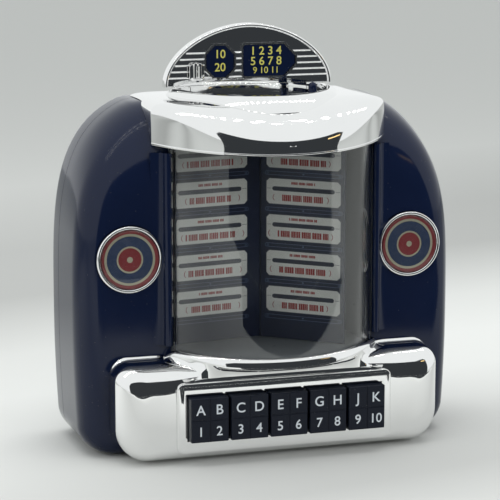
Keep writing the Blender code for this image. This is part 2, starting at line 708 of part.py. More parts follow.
def rear_shell(navy):
    tongue = HOUSING_WALL / 2 + GAP
    start = SPLIT_Y + GAP
    tip = SPLIT_Y - TONGUE + GAP
    rim = [straight_ring(0, start), straight_ring(tongue, start), straight_ring(tongue, tip),
           straight_ring(HOUSING_WALL, tip)]
    shell = rings_object("rear_shell", rear_rings(0) + rim + rear_rings(HOUSING_WALL)[::-1], navy)
    bm = bmesh.new()
    for x, z in boss_places():
        add_turned(bm, (x, 0, z), [(BOSS_RADIUS, SPLIT_Y - TONGUE + GAP),
                                   (BOSS_RADIUS, REAR_Y - HOUSING_WALL + MERGE)], steps=DISC_STEPS // 2)
    join(shell, place("rear_bosses", bm))
    bm = bmesh.new()
    for x in (-1, 1):
        for z in (SOUND_BOARD_LOW_Z + SOUND_POST_RADIUS, SOUND_BOARD_HIGH_Z - SOUND_POST_RADIUS):
            add_turned(bm, (x * (SOUND_BOARD_WIDTH / 2 - SOUND_POST_RADIUS), 0, z),
                       [(SOUND_POST_RADIUS, REAR_Y - HOUSING_WALL - SOUND_BOARD_STANDOFF),
                        (SOUND_POST_RADIUS, REAR_Y - HOUSING_WALL + MERGE)], steps=DISC_STEPS // 2)
    half, low, high = door_box()
    for side in (-1, 1):
        x0, x1 = sorted((side * (half - HINGE_EAR), side * (half - GAP)))
        ear = [(REAR_Y - HOUSING_WALL, low - DOOR_GAP - MERGE),
               (REAR_Y - DOOR_THICKNESS / 2, low - DOOR_GAP - MERGE),
               (REAR_Y - DOOR_THICKNESS / 2, low + 2 * HINGE_RADIUS),
               (REAR_Y - 2 * HINGE_RADIUS, low + 2 * HINGE_RADIUS),
               (REAR_Y - 2 * HINGE_RADIUS, low + GAP), (REAR_Y - HOUSING_WALL, low + GAP)]
        add_rings(bm, [[(x, y, z) for y, z in ear] for x in (x0, x1)])
    ears = place("hinge_ears_and_posts", bm)
    bm = bmesh.new()
    for row in range(GRILLE_COUNT):
        add_extruded(bm, grille_outline(row), REAR_Y - HOUSING_WALL - MERGE, REAR_Y + OVERRUN, "Y")
    for x, z in boss_places():
        add_turned(bm, (x, 0, z), [(SCREW_RADIUS + GAP, SPLIT_Y - TONGUE - OVERRUN),
                                         (SCREW_RADIUS + GAP, REAR_Y - SCREW_WELL_DEPTH)],
                   steps=DISC_STEPS // 2)
        add_turned(bm, (x, 0, z), [(SCREW_HEAD_RADIUS + GAP, REAR_Y - SCREW_WELL_DEPTH),
                                         (SCREW_HEAD_RADIUS + GAP, REAR_Y + OVERRUN)])
    knob = SLIDE_KNOB_WIDTH / 2 + GAP
    add_box(bm, SLIDE_X - knob, SLIDE_X + SLIDE_TRAVEL + knob,
            REAR_Y - HOUSING_WALL - OVERRUN, REAR_Y - SLIDE_DISH + MERGE,
            SLIDE_Z - SLIDE_KNOB_HEIGHT / 2 - GAP, SLIDE_Z + SLIDE_KNOB_HEIGHT / 2 + GAP)
    holes = place("rear_holes", bm)
    cut(shell, holes)
    margin = SLIDE_DISH_MARGIN
    cut(shell, box_object("switch_dish", SLIDE_X - knob - margin, SLIDE_X + SLIDE_TRAVEL + knob + margin,
                          REAR_Y - SLIDE_DISH, REAR_Y + OVERRUN,
                          SLIDE_Z - SLIDE_KNOB_HEIGHT / 2 - margin, SLIDE_Z + SLIDE_KNOB_HEIGHT / 2 + margin))
    bm = bmesh.new()
    add_box(bm, -half - DOOR_GAP, half + DOOR_GAP, REAR_Y - HOUSING_WALL - OVERRUN, REAR_Y + OVERRUN,
            low - DOOR_GAP, high + DOOR_GAP)
    cut(shell, place("door_opening", bm))
    join(shell, ears)
    bm = bmesh.new()
    hinge_y, hinge_z = hinge_axis()
    add_turned(bm, (0, hinge_y, hinge_z), [(HINGE_BORE_RADIUS, -half), (HINGE_BORE_RADIUS, half)],
               "X", DISC_STEPS // 2)
    cut(shell, place("hinge_bores", bm))
    bm = bmesh.new()
    for side in (-1, 1):
        add_turned(bm, (side * FOOT_X, REAR_Y - FOOT_INSET, FOOT_HEIGHT), foot_profile(GAP), "Z")
    cut(shell, place("rear_foot_recesses", bm))
    return shell


def feet(rubber):
    number = 0
    for y in (PANEL_Y + FOOT_INSET, REAR_Y - FOOT_INSET):
        for side in (-1, 1):
            number += 1
            turned_object(f"foot_{number}", (side * FOOT_X, y, FOOT_HEIGHT), foot_profile(),
                          "Z", DISC_STEPS, rubber)


def housing_screws(steel):
    head_y = REAR_Y - SCREW_WELL_DEPTH + GAP
    for number, (x, z) in enumerate(boss_places(), start=1):
        profile = [(SCREW_RADIUS, SPLIT_Y - TONGUE - SCREW_LENGTH + GAP), (SCREW_RADIUS, head_y),
                   (SCREW_HEAD_RADIUS, head_y), (SCREW_HEAD_RADIUS, head_y + SCREW_HEAD_HEIGHT / 2),
                   (SCREW_HEAD_RADIUS / 2, head_y + SCREW_HEAD_HEIGHT)]
        screw = turned_object(f"housing_screw_{number}", (x, 0, z), profile, steps=DISC_STEPS // 2,
                              finish=steel)
        bm = bmesh.new()
        top = head_y + SCREW_HEAD_HEIGHT
        add_box(bm, x - SCREW_SLOT / 2, x + SCREW_SLOT / 2, top - SCREW_SLOT, top + OVERRUN,
                z - SCREW_HEAD_RADIUS / 2, z + SCREW_HEAD_RADIUS / 2)
        cut(screw, place(f"screw_slot_{number}", bm))


# Window, display box and pages

def bow_outline(offset, end_y, steps=BOW_STEPS):
    """Plan of the bowed window, moved outwards by offset, with straight returns to end_y."""
    radius = BOW_RADIUS + offset
    points = [(-WINDOW_HALF - offset, end_y)]
    for i in range(steps + 1):
        turn = BOW_ANGLE * (2 * i / steps - 1)
        points.append((radius * sin(turn), BOW_CENTRE_Y - radius * cos(turn)))
    points.append((WINDOW_HALF + offset, end_y))
    points[1] = (-WINDOW_HALF - offset, points[1][1])
    points[-2] = (WINDOW_HALF + offset, points[-2][1])
    return points


def window(clear):
    end_y = PANEL_Y - WINDOW_END_REACH + PANE_RETURN
    outer = bow_outline(0, end_y)
    inner = bow_outline(-PANE, end_y)
    return extruded_object("window", outer + inner[::-1], FLOOR_Z + GAP, PANE_TOP_Z, finish=clear)


def display_box(grey):
    half = DISPLAY_HALF
    front = PANEL_Y + HOUSING_WALL + GAP
    back = PANEL_Y + DISPLAY_DEPTH
    tray = box_object("display_box", -half, half, front, back, FLOOR_BOTTOM_Z, DISPLAY_TOP_Z, grey)
    room = DISPLAY_WALL
    cut(tray, box_object("display_room", -half + room, half - room, front - OVERRUN, back - room,
                         FLOOR_Z, DISPLAY_TOP_Z - room))
    floor = bow_outline(-GAP, front + MERGE)
    join(tray, extruded_object("display_floor", floor, FLOOR_BOTTOM_Z, FLOOR_Z))
    return tray


def page_outline(side):
    """Plan of one page, from the fold outwards and forwards; the left one covers the spine too."""
    swing = LEFT_PAGE_SWING if side < 0 else RIGHT_PAGE_SWING
    x0, y0 = SPINE_HALF, PANEL_Y + SPINE_DEPTH
    x1, y1 = x0 + PAGE_WIDTH * cos(swing), y0 - PAGE_WIDTH * sin(swing)
    if side < 0:
        x0, y0 = GAP - SPINE_HALF, y0 + (2 * SPINE_HALF - GAP) * tan(swing)
    dx, dy = PAGE_THICKNESS * sin(swing), PAGE_THICKNESS * cos(swing)
    return [(side * x, y) for x, y in [(x0, y0), (x1, y1), (x1 + dx, y1 + dy), (x0 + dx, y0 + dy)]]


def title_pages(card):
    for side, name in ((-1, "left_title_page"), (1, "right_title_page")):
        extruded_object(name, page_outline(side), FLOOR_Z + GAP, FLOOR_Z + GAP + PAGE_HEIGHT, finish=card)


# Badges

def badges(chrome, print_finish, clear):
    back = PANEL_Y + BADGE_SEAT - GAP
    for side, word in ((-1, "left"), (1, "right")):
        centre = (side * BADGE_X, 0, BADGE_Z)
        inner = BADGE_RADIUS - BADGE_RIM
        front = PANEL_Y - BADGE_PROUD
        middle = BADGE_RADIUS - BADGE_RIM / 2
        shelf = back - BADGE_DISC / 2
        ring = [(BADGE_RADIUS, back), (BADGE_RADIUS, front + BADGE_RIM / 2), (middle, front),
                (inner, front + BADGE_RIM / 2), (inner, shelf), (inner - BADGE_RIM, shelf),
                (inner - BADGE_RIM, back)]
        turned_ring_object(f"badge_ring_{word}", centre, ring, "Y", RING_STEPS, chrome)
        disc_back = shelf - GAP
        disc = [(inner - GAP, disc_back), (inner - GAP, disc_back - BADGE_DISC)]
        turned_object(f"badge_disc_{word}", centre, disc, steps=RING_STEPS, finish=print_finish)
        lens_back = disc_back - BADGE_DISC - GAP
        rim = inner - GAP
        dome = [(rim, lens_back), (rim, lens_back - LENS_EDGE)]
        for i in range(1, ARC_STEPS):
            share = i / ARC_STEPS
            dome.append((rim * cos(0.5 * pi * share),
                         lens_back - LENS_EDGE - (LENS_CROWN - LENS_EDGE) * sin(0.5 * pi * share)))
        turned_object(f"badge_lens_{word}", centre, dome, steps=RING_STEPS, finish=clear)


# Top cap

def cap_section(depth, half, edge_z, spring_z, top_z, power, steps=2 * ARCH_STEPS):
    """One cross-section of the cap: a band at each side with a flattened dome between."""
    y = PANEL_Y + depth
    points = [(half, y, edge_z)]
    for i in range(steps + 1):
        turn = pi * i / steps
        c, s = cos(turn), sin(turn)
        side = 1 if c >= 0 else -1
        points.append((side * half * abs(c) ** (2 / power), y,
                       spring_z + (top_z - spring_z) * s ** (2 / power)))
    points.append((-half, y, edge_z))
    return points


def brow_top_z(reach):
    """Height of the cap's middle line at a reach ahead of the panel; it falls towards the lip."""
    share = (BROW_BACK + reach) / (BROW_BACK + BROW_REACH)
    low = BROW_LIP_Z + BROW_BAND
    if share <= 0:
        return CAP_TOP_Z
    return low + (CAP_TOP_Z - low) * max(0, 1 - share ** BROW_POWER) ** (1 / BROW_POWER)


def cap_front_section(half, hollow):
    """Section of the brow where its lip has a given half-width, or of the room inside it."""
    centre = BROW_RADIUS - BROW_REACH
    lip_z = BROW_LIP_Z + BROW_LIP_RISE * (half / BROW_HALF) ** 2
    reach = sqrt(BROW_RADIUS ** 2 - half ** 2) - centre
    power = blend(CROWN_POWER, BROW_NOSE_POWER, smooth_step(0, BROW_REACH, reach))
    if not hollow:
        return cap_section(-reach, half, lip_z, lip_z + BROW_BAND,
                           max(brow_top_z(reach), lip_z + 2 * BROW_BAND), power)
    scale = (BROW_RADIUS - BROW_WALL) / BROW_RADIUS
    inner_reach = (reach + centre) * scale - centre
    top_z = min(brow_top_z(inner_reach) - CAP_WALL, TRAY_Z - CAP_WALL)
    spring_z = min(lip_z + BROW_BAND - CAP_WALL, top_z - BROW_BAND)
    return cap_section(-inner_reach, half * scale, BROW_LIP_Z - OVERRUN, spring_z, top_z, power)


def cap_rear_section(depth, shrink, hollow):
    """Section of the crown behind the panel, drawn in by shrink towards its rear edge."""
    lip_z = BROW_LIP_Z + BROW_LIP_RISE
    if not hollow:
        return cap_section(depth, BROW_HALF - shrink / 2, lip_z, lip_z + BROW_BAND,
                           CAP_TOP_Z - shrink, CROWN_POWER)
    return cap_section(depth, BROW_HALF - CAP_WALL, BROW_LIP_Z - OVERRUN,
                       lip_z + BROW_BAND - CAP_WALL, TRAY_Z - CAP_WALL, CROWN_POWER)


def cap_rings(hollow=False):
    """Sections of the cap from its lip to its rear, or of the room inside it."""
    rings = [cap_front_section(blend(BROW_TIP_HALF, BROW_HALF, i / CAP_STEPS), hollow)
             for i in range(CAP_STEPS + 1)]
    rings.append(cap_rear_section(BROW_BACK, 0, hollow))
    rear = HOUSING_DEPTH - REAR_FILLET
    if hollow:
        return rings + [cap_rear_section(rear - CAP_WALL, 0, hollow)]
    for i in range(ARC_STEPS + 1):
        turn = 0.5 * pi * i / ARC_STEPS
        rings.append(cap_rear_section(rear - CAP_REAR_FILLET * (1 - sin(turn)),
                                      CAP_REAR_FILLET * (1 - cos(turn)), hollow))
    return rings


def tier_ring(scale_in, z, front=TIER_FRONT, steps=RING_STEPS):
    """One ring of the tier: an ellipse with a deeper front half, drawn in at side and front."""
    in_x, in_y = scale_in
    ring = []
    for i in range(steps):
        turn = 2 * pi * i / steps
        x = (TIER_HALF - in_x) * cos(turn)
        reach = front - in_y if sin(turn) < 0 else TIER_BACK - min(in_y, TIER_BACK / 2)
        ring.append((x, CREST_Y + reach * sin(turn), z))
    return ring


def tier_object():
    rings = [tier_ring((0, 0), TIER_FOOT_Z)]
    steps = ARC_STEPS + 1
    for i in range(1, steps + 1):
        turn = 0.5 * pi * i / steps
        rings.append(tier_ring((TIER_ROLL_X * (1 - cos(turn)), TIER_ROLL_Y * (1 - cos(turn))),
                               blend(TIER_FOOT_Z, TIER_TOP_Z, sin(turn))))
    return rings_object("cap_tier", rings)


def tray_object():
    """The tray's hollow: a half ellipse in front of the crest, with a rounded floor edge."""
    rings = []
    levels = [(0, OVERRUN), (0, TRAY_ROUND - TRAY_DEPTH)]
    for i in range(1, ARC_STEPS):
        turn = 0.5 * pi * i / (ARC_STEPS - 1)
        levels.append((TRAY_ROUND * (1 - cos(turn)), TRAY_ROUND * (1 - sin(turn)) - TRAY_DEPTH))
    for inset, level in levels:
        half = TIER_HALF - TIER_ROLL_X - TRAY_RIM - inset
        front = TIER_FRONT - TIER_ROLL_Y - TRAY_RIM - inset
        steps = RING_STEPS // 2
        ring = [(half * cos(pi * i / steps), CREST_Y - front * sin(pi * i / steps), TIER_TOP_Z + level)
                for i in range(steps + 1)]
        rings.append(ring)
    return rings_object("cap_tray", rings)


def top_cap(chrome):
    cap = rings_object("top_cap", cap_rings(), chrome)
    join(cap, tier_object())
    cut(cap, rings_object("cap_hollow", cap_rings(True)))
    housing = front_rings(-GAP) + [straight_ring(-GAP, REAR_Y + OVERRUN)]
    cut(cap, rings_object("cap_seat", housing))
    cut(cap, tray_object())
    bm = bmesh.new()
    add_turned(bm, (BUTTON_X, PANEL_Y + BUTTON_DEPTH, TRAY_Z),
               [(BUTTON_RADIUS + BUTTON_CLEARANCE, -CAP_WALL - OVERRUN),
                (BUTTON_RADIUS + BUTTON_CLEARANCE, OVERRUN)], "Z", DISC_STEPS)
    y0 = CREST_Y - GAP
    y1 = CREST_Y + CREST_THICKNESS + GAP
    add_box(bm, -CREST_TAB_HALF - GAP, CREST_TAB_HALF + GAP, y0, y1,
            DECK_Z, TIER_TOP_Z + OVERRUN)
    cut(cap, place("cap_slots", bm))
    return cap


# Crest

def crest_outline(inset, base_z):
    """The crest's upright outline: half a superellipse, on straight sides if base_z is lower."""
    half = CREST_HALF - inset
    waist = max(base_z, CREST_WAIST_Z)
    rise = CREST_TOP_Z - inset - waist
    steps = 2 * ARCH_STEPS
    outline = []
    for i in range(steps + 1):
        turn = pi * i / steps
        c = cos(turn)
        side = 1 if c >= 0 else -1
        outline.append((side * half * abs(c) ** (2 / CREST_POWER),
                        waist + rise * sin(turn) ** (2 / CREST_POWER)))
    if base_z < waist:
        outline += [(-half, base_z), (half, base_z)]
    return outline


def plate_outline(which, grow=0.0):
    """Outline of a price plate, grown outwards by grow."""
    if which == "left":
        x, width, cuts = LEFT_PLATE_X, LEFT_PLATE_WIDTH, (LEFT_PLATE_CUT,) * 4
    else:
        x, width = RIGHT_PLATE_X, RIGHT_PLATE_WIDTH
        cuts = (SMALL_CUT, RIGHT_PLATE_CUT, RIGHT_PLATE_CUT, SMALL_CUT)
    outline = cut_box_outline(x - width / 2, x + width / 2, PLATE_Z - PLATE_HEIGHT / 2,
                              PLATE_Z + PLATE_HEIGHT / 2, cuts)
    return offset_outline(outline, -grow) if grow else outline


def crest(chrome):
    base = TIER_TOP_Z + GAP
    rings = []
    for inset, back in ((CREST_EDGE, 0), (CREST_EDGE / 4, CREST_EDGE / 3), (0, CREST_EDGE),
                        (0, CREST_THICKNESS - CREST_EDGE), (CREST_EDGE, CREST_THICKNESS)):
        rings.append([(x, CREST_Y + back, z) for x, z in crest_outline(inset, base)])
    plate = rings_object("crest", rings, chrome)
    field = crest_outline(CREST_RIM, base + CREST_RIM)
    cut(plate, extruded_object("crest_field", field, CREST_Y - OVERRUN, CREST_Y + CREST_FIELD, "Y"))
    bm = bmesh.new()
    for row in range(RIB_COUNT):
        z = RIB_FIRST_Z + row * RIB_PITCH
        share = (z + RIB_WIDTH - CREST_WAIST_Z) / (CREST_TOP_Z - CREST_WAIST_Z - CREST_RIM)
        half = (CREST_HALF - CREST_RIM) * (1 - share ** CREST_POWER) ** (1 / CREST_POWER) + MERGE
        profile = [(CREST_Y + CREST_FIELD + MERGE, z - RIB_WIDTH / 2),
                   (CREST_Y + CREST_FIELD - RIB_HEIGHT / 2, z - RIB_WIDTH / 2),
                   (CREST_Y + CREST_FIELD - RIB_HEIGHT, z),
                   (CREST_Y + CREST_FIELD - RIB_HEIGHT / 2, z + RIB_WIDTH / 2),
                   (CREST_Y + CREST_FIELD + MERGE, z + RIB_WIDTH / 2)]
        add_rings(bm, [[(x, y, level) for y, level in profile] for x in (-half, half)])
    join(plate, place("crest_ribs", bm))
    bm = bmesh.new()
    for which in ("left", "right"):
        add_extruded(bm, plate_outline(which, PLATE_FRAME), CREST_Y - PLATE_FRAME / 2,
                     CREST_Y + CREST_FIELD + MERGE, "Y")
    join(plate, place("plate_frames", bm))
    bm = bmesh.new()
    for which in ("left", "right"):
        add_extruded(bm, plate_outline(which, GAP), CREST_Y - OVERRUN,
                     CREST_Y + PLATE_THICKNESS + GAP, "Y")
    slit = COIN_SLIT / 2
    cut(plate, place("plate_pockets", bm))
    tab = box_object("crest_tab", -CREST_TAB_HALF, CREST_TAB_HALF, CREST_Y, CREST_Y + CREST_THICKNESS,
                     TIER_TOP_Z - CREST_TAB, base + MERGE)
    join(plate, tab)
    cut(plate, box_object("coin_passage", COIN_X - slit, COIN_X + slit, CREST_Y - OVERRUN,
                          CREST_Y + CREST_THICKNESS + OVERRUN, COIN_Z - COIN_SLIT_HEIGHT / 2,
                          COIN_Z + COIN_SLIT_HEIGHT / 2))
    return plate


def price_plates(navy):
    for which in ("left", "right"):
        extruded_object(f"{which}_price_plate", plate_outline(which), CREST_Y,
                        CREST_Y + PLATE_THICKNESS, "Y", navy)


def coin_entry(chrome):
    """A small bracket: a cross-shaped plate with an upright slit between two lips."""
    back = CREST_Y + CREST_FIELD - RIB_HEIGHT - GAP
    front = back - COIN_REACH
    half_w, half_h = COIN_WIDTH / 2, COIN_HEIGHT / 2
    bracket = rings_object("coin_entry", [
        [(COIN_X + x, y, COIN_Z + z) for x, z in cut_box_outline(-w, w, -h, h, (c,) * 4)]
        for w, h, c, y in ((half_w, half_h, COIN_LIP, back), (half_w, half_h, COIN_LIP, back - COIN_REACH / 3),
                           (half_w - COIN_LIP, half_h - COIN_LIP / 2, COIN_LIP, back - COIN_REACH / 2))],
        chrome)
    bm = bmesh.new()
    slit = COIN_SLIT / 2
    for side in (-1, 1):
        x0, x1 = sorted((side * slit / 2, side * (slit + COIN_LIP)))
        add_box(bm, COIN_X + x0, COIN_X + x1, front, back - MERGE, COIN_Z - half_h + COIN_LIP,
                COIN_Z + half_h + COIN_LIP / 2)
    join(bracket, place("coin_lips", bm))
    cut(bracket, box_object("coin_slit", COIN_X - slit, COIN_X + slit, front - OVERRUN, back + OVERRUN,
                            COIN_Z - COIN_SLIT_HEIGHT / 2, COIN_Z + COIN_SLIT_HEIGHT / 2))
    return bracket


# Button in the tray

def button_levels():
    """Heights of the button's parts: flange top, flange bottom, switch top."""
    flange_top = BUTTON_STOP_Z
    flange_low = flange_top - BUTTON_FLANGE
    switch_top = DISPLAY_TOP_Z + GAP + BUTTON_SWITCH_BODY
    return flange_top, flange_low, switch_top


def top_button(navy):
    flange_top, flange_low, switch_top = button_levels()
    tip = TRAY_Z + BUTTON_PROUD
    dome = []
    for i in range(ARC_STEPS):
        turn = 0.5 * pi * i / ARC_STEPS
        dome.append((BUTTON_RADIUS * cos(turn), tip - BUTTON_RADIUS * (1 - sin(turn))))
    head_low = TRAY_Z - CAP_WALL / 2
    stem_tip = switch_top + BUTTON_SWITCH_PLUNGER + GAP + BUTTON_TRAVEL
    profile = [(BUTTON_STEM, stem_tip), (BUTTON_STEM, flange_low), (BUTTON_FLANGE_RADIUS, flange_low),
               (BUTTON_FLANGE_RADIUS, flange_top), (BUTTON_STEM, flange_top),
               (BUTTON_STEM, head_low - MERGE), (BUTTON_RADIUS, head_low)] + dome
    centre = (BUTTON_X, PANEL_Y + BUTTON_DEPTH, 0)
    return turned_object("top_button", centre, profile, "Z", DISC_STEPS, navy)


def button_spring(steel):
    _, flange_low, switch_top = button_levels()
    length = flange_low - switch_top - 2 * GAP
    return coil_object("button_spring", (BUTTON_X, PANEL_Y + BUTTON_DEPTH, switch_top + GAP),
                       BUTTON_SPRING_RADIUS, BUTTON_SPRING_WIRE, BUTTON_SPRING_TURNS, length, "Z", steel)


def button_switch(black):
    half = BUTTON_SWITCH_SIZE / 2
    y = PANEL_Y + BUTTON_DEPTH
    _, _, top = button_levels()
    body = box_object("button_switch", BUTTON_X - half, BUTTON_X + half, y - half, y + half,
                      DISPLAY_TOP_Z + GAP, top, black)
    plunger = turned_object("button_switch_plunger", (BUTTON_X, y, top),
                            [(BUTTON_STEM, -BUTTON_SWITCH_BODY / 2), (BUTTON_STEM, BUTTON_SWITCH_PLUNGER)],
                            "Z", DISC_STEPS // 2)
    return join(body, plunger)


# Bezel and keys

def bezel_block_rings(inset, back_y):
    """The bezel's main block: a rounded outline drawn back from its face with a rounded edge."""
    radii = (BEZEL_BASE_CORNER, BEZEL_BASE_CORNER, BEZEL_TOP_CORNER, BEZEL_TOP_CORNER)
    outline = rounded_box_outline(-BEZEL_HALF, BEZEL_HALF, BEZEL_BASE_Z, BEZEL_TOP_Z, radii)
    face_y = PANEL_Y - BEZEL_REACH + inset
    fillet = BEZEL_FILLET - inset
    rings = []
    for i in range(ARC_STEPS + 1):
        turn = 0.5 * pi * i / ARC_STEPS
        ring = offset_outline(outline, inset + fillet * (1 - sin(turn)))
        rings.append([(x, face_y + fillet * (1 - cos(turn)), z) for x, z in ring])
    ring = offset_outline(outline, inset) if inset else outline
    rings.append([(x, back_y, z) for x, z in ring])
    return rings


def lip_section(turn):
    """Cross-section of the lip under the window at one angle of the bow."""
    x = BOW_RADIUS * sin(turn)
    side = smooth_step(SCOOP_END_SHARE * WINDOW_HALF, SKIRT_SHARE * WINDOW_HALF, abs(x))
    top = LIP_Z + LIP_RISE * (x / WINDOW_HALF) ** 2
    nose = LIP_REACH - WINDOW_REACH
    face_y = PANEL_Y - BEZEL_REACH
    face_out = (BOW_CENTRE_Y - face_y) / cos(turn) - BOW_RADIUS
    shoulder_z = BEZEL_TOP_Z
    end = (blend(min(face_out, nose), LIP_SKIRT, side), blend(SCOOP_FOOT_Z, shoulder_z, side))
    band = (nose, top - blend(LIP_BAND, LIP_NOSE, side))
    control = (blend(end[0], band[0], side), blend(band[1], end[1], side))
    profile = [(GAP, top)]
    for i in range(ARC_STEPS):
        angle = 0.5 * pi * (1 - i / (ARC_STEPS - 1))
        profile.append((nose - LIP_NOSE + LIP_NOSE * cos(angle), top - LIP_NOSE + LIP_NOSE * sin(angle)))
    steps = ARC_STEPS + 1
    for i in range(steps + 1):
        t = i / steps
        profile.append(tuple((1 - t) ** 2 * a + 2 * t * (1 - t) * b + t * t * c
                             for a, b, c in zip(band, control, end)))
    under = FLOOR_BOTTOM_Z - GAP
    sunk = (blend(end[0] - 2 * LIP_NOSE, end[0], side), end[1] - 2 * MERGE)
    profile.append(sunk)
    profile.append((blend(sunk[0], GAP, side), blend(under, sunk[1], side)))
    profile.append((GAP, under))
    return [((BOW_RADIUS + rho) * sin(turn), BOW_CENTRE_Y - (BOW_RADIUS + rho) * cos(turn), z)
            for rho, z in profile]


def key_centres():
    return [(i - (KEY_COUNT - 1) / 2) * KEY_PITCH for i in range(KEY_COUNT)]


def base_bezel(chrome):
    back_y = PANEL_Y - GAP
    bezel = rings_object("base_bezel", bezel_block_rings(0, back_y), chrome)
    steps = BOW_STEPS + 8
    join(bezel, rings_object("bezel_lip", [lip_section(BOW_ANGLE * (2 * i / steps - 1))
                                           for i in range(steps + 1)]))
    radii = (PLATEAU_CORNER,) * 4
    outline = rounded_box_outline(-PLATEAU_HALF, PLATEAU_HALF, PLATEAU_LOW_Z, PLATEAU_HIGH_Z, radii)
    face = PANEL_Y - BEZEL_REACH
    plateau = [[(x, y, z) for x, z in offset_outline(outline, inset)] if inset else
               [(x, y, z) for x, z in outline]
               for inset, y in ((0, face + MERGE), (0, FIELD_Y + PLATEAU_EDGE), (PLATEAU_EDGE, FIELD_Y))]
    join(bezel, rings_object("bezel_plateau", plateau))
    cut(bezel, rings_object("bezel_hollow", bezel_block_rings(BEZEL_WALL, PANEL_Y + OVERRUN)))
    bm = bmesh.new()
    half_row = (KEY_COUNT - 1) / 2 * KEY_PITCH + KEY_WIDTH / 2 + KEY_CLEARANCE
    y0, y1 = KEY_FACE_Y - OVERRUN, BEZEL_BACK_Y + OVERRUN
    add_box(bm, -half_row, half_row, y0, y1, KEY_LOW_Z + KEY_TOOTH, KEY_HIGH_Z - KEY_TOOTH)
    row = place("key_row_opening", bm)
    bm = bmesh.new()
    for x in key_centres():
        half = KEY_WIDTH / 2 + KEY_CLEARANCE
        add_box(bm, x - half, x + half, y0 - MERGE, y1 + MERGE, KEY_LOW_Z - KEY_CLEARANCE,
                KEY_HIGH_Z + KEY_CLEARANCE)
    cut(bezel, row)
    cut(bezel, place("key_openings", bm))
    return bezel


def key_block(number, x, black):
    """One key: a hollow head with crossed grooves, a retaining flange and a post behind."""
    flange_y = BEZEL_BACK_Y + GAP
    half = KEY_WIDTH / 2
    low, high = KEY_LOW_Z, KEY_HIGH_Z
    outline = cut_box_outline(x - half, x + half, low, high, (KEY_EDGE,) * 4)
    rings = [[(a, y, b) for a, b in (offset_outline(outline, inset) if inset else outline)]
             for inset, y in ((KEY_EDGE, KEY_FACE_Y), (0, KEY_FACE_Y + KEY_EDGE), (0, flange_y + MERGE))]
    key = rings_object(f"key_block_{number}", rings, black)
    join(key, box_object(f"key_flange_{number}", x - half, x + half, flange_y, flange_y + KEY_FLANGE,
                         low - KEY_FLANGE_LIP, high + KEY_FLANGE_LIP))
    inner = half - KEY_WALL
    cut(key, box_object(f"key_hollow_{number}", x - inner, x + inner, KEY_FACE_Y + KEY_WALL,
                        flange_y + KEY_FLANGE + OVERRUN, low + KEY_WALL, high - KEY_WALL))
    tip = board_front_y() - SWITCH_BODY - SWITCH_PLUNGER - GAP - KEY_TRAVEL
    join(key, turned_object(f"key_post_{number}", (x, 0, KEY_MID_Z),
                            [(KEY_POST, KEY_FACE_Y + KEY_WALL - MERGE), (KEY_POST, tip)],
                            steps=DISC_STEPS // 2))
    bm = bmesh.new()
    groove = KEY_GROOVE / 2
    y0, y1 = KEY_FACE_Y - OVERRUN, KEY_FACE_Y + KEY_GROOVE_DEPTH
    add_box(bm, x - groove, x + groove, y0, y1, low - OVERRUN, high + OVERRUN)
    upright = place(f"key_groove_upright_{number}", bm)
    level = box_object(f"key_groove_level_{number}", x - half - OVERRUN, x + half + OVERRUN, y0, y1,
                       KEY_MID_Z - groove, KEY_MID_Z + groove)
    cut(key, upright)
    cut(key, level)
    return hang_on_axis(key, (x, KEY_FACE_Y, KEY_MID_Z))


def board_front_y():
    return BOARD_Y - BOARD


def keys_and_springs(black, steel):
    seat = board_front_y() - SWITCH_BODY - GAP
    back = KEY_FACE_Y + KEY_WALL + KEY_TRAVEL + GAP
    for number, x in enumerate(key_centres(), start=1):
        key_block(number, x, black)
        coil_object(f"key_spring_{number}", (x, seat, KEY_MID_Z), KEY_SPRING_RADIUS, KEY_SPRING_WIRE,
                    KEY_SPRING_TURNS, seat - back, "Y", steel)


def switch_board(green):
    front = board_front_y()
    board = box_object("switch_board", -BOARD_HALF, BOARD_HALF, front, BOARD_Y, BOARD_LOW_Z, BOARD_HIGH_Z,
                       green)
    bm = bmesh.new()
    half = SWITCH_SIZE / 2
    for x in key_centres():
        add_box(bm, x - half, x + half, front - SWITCH_BODY, front + MERGE, KEY_MID_Z - half, KEY_MID_Z + half)
    join(board, place("tact_bodies", bm))
    bm = bmesh.new()
    for x in key_centres():
        add_turned(bm, (x, front - SWITCH_BODY, KEY_MID_Z),
                   [(SWITCH_PLUNGER_RADIUS, -SWITCH_PLUNGER), (SWITCH_PLUNGER_RADIUS, MERGE)],
                   steps=DISC_STEPS // 2)
    join(board, place("tact_plungers", bm))
    return board


# Speaker and boards

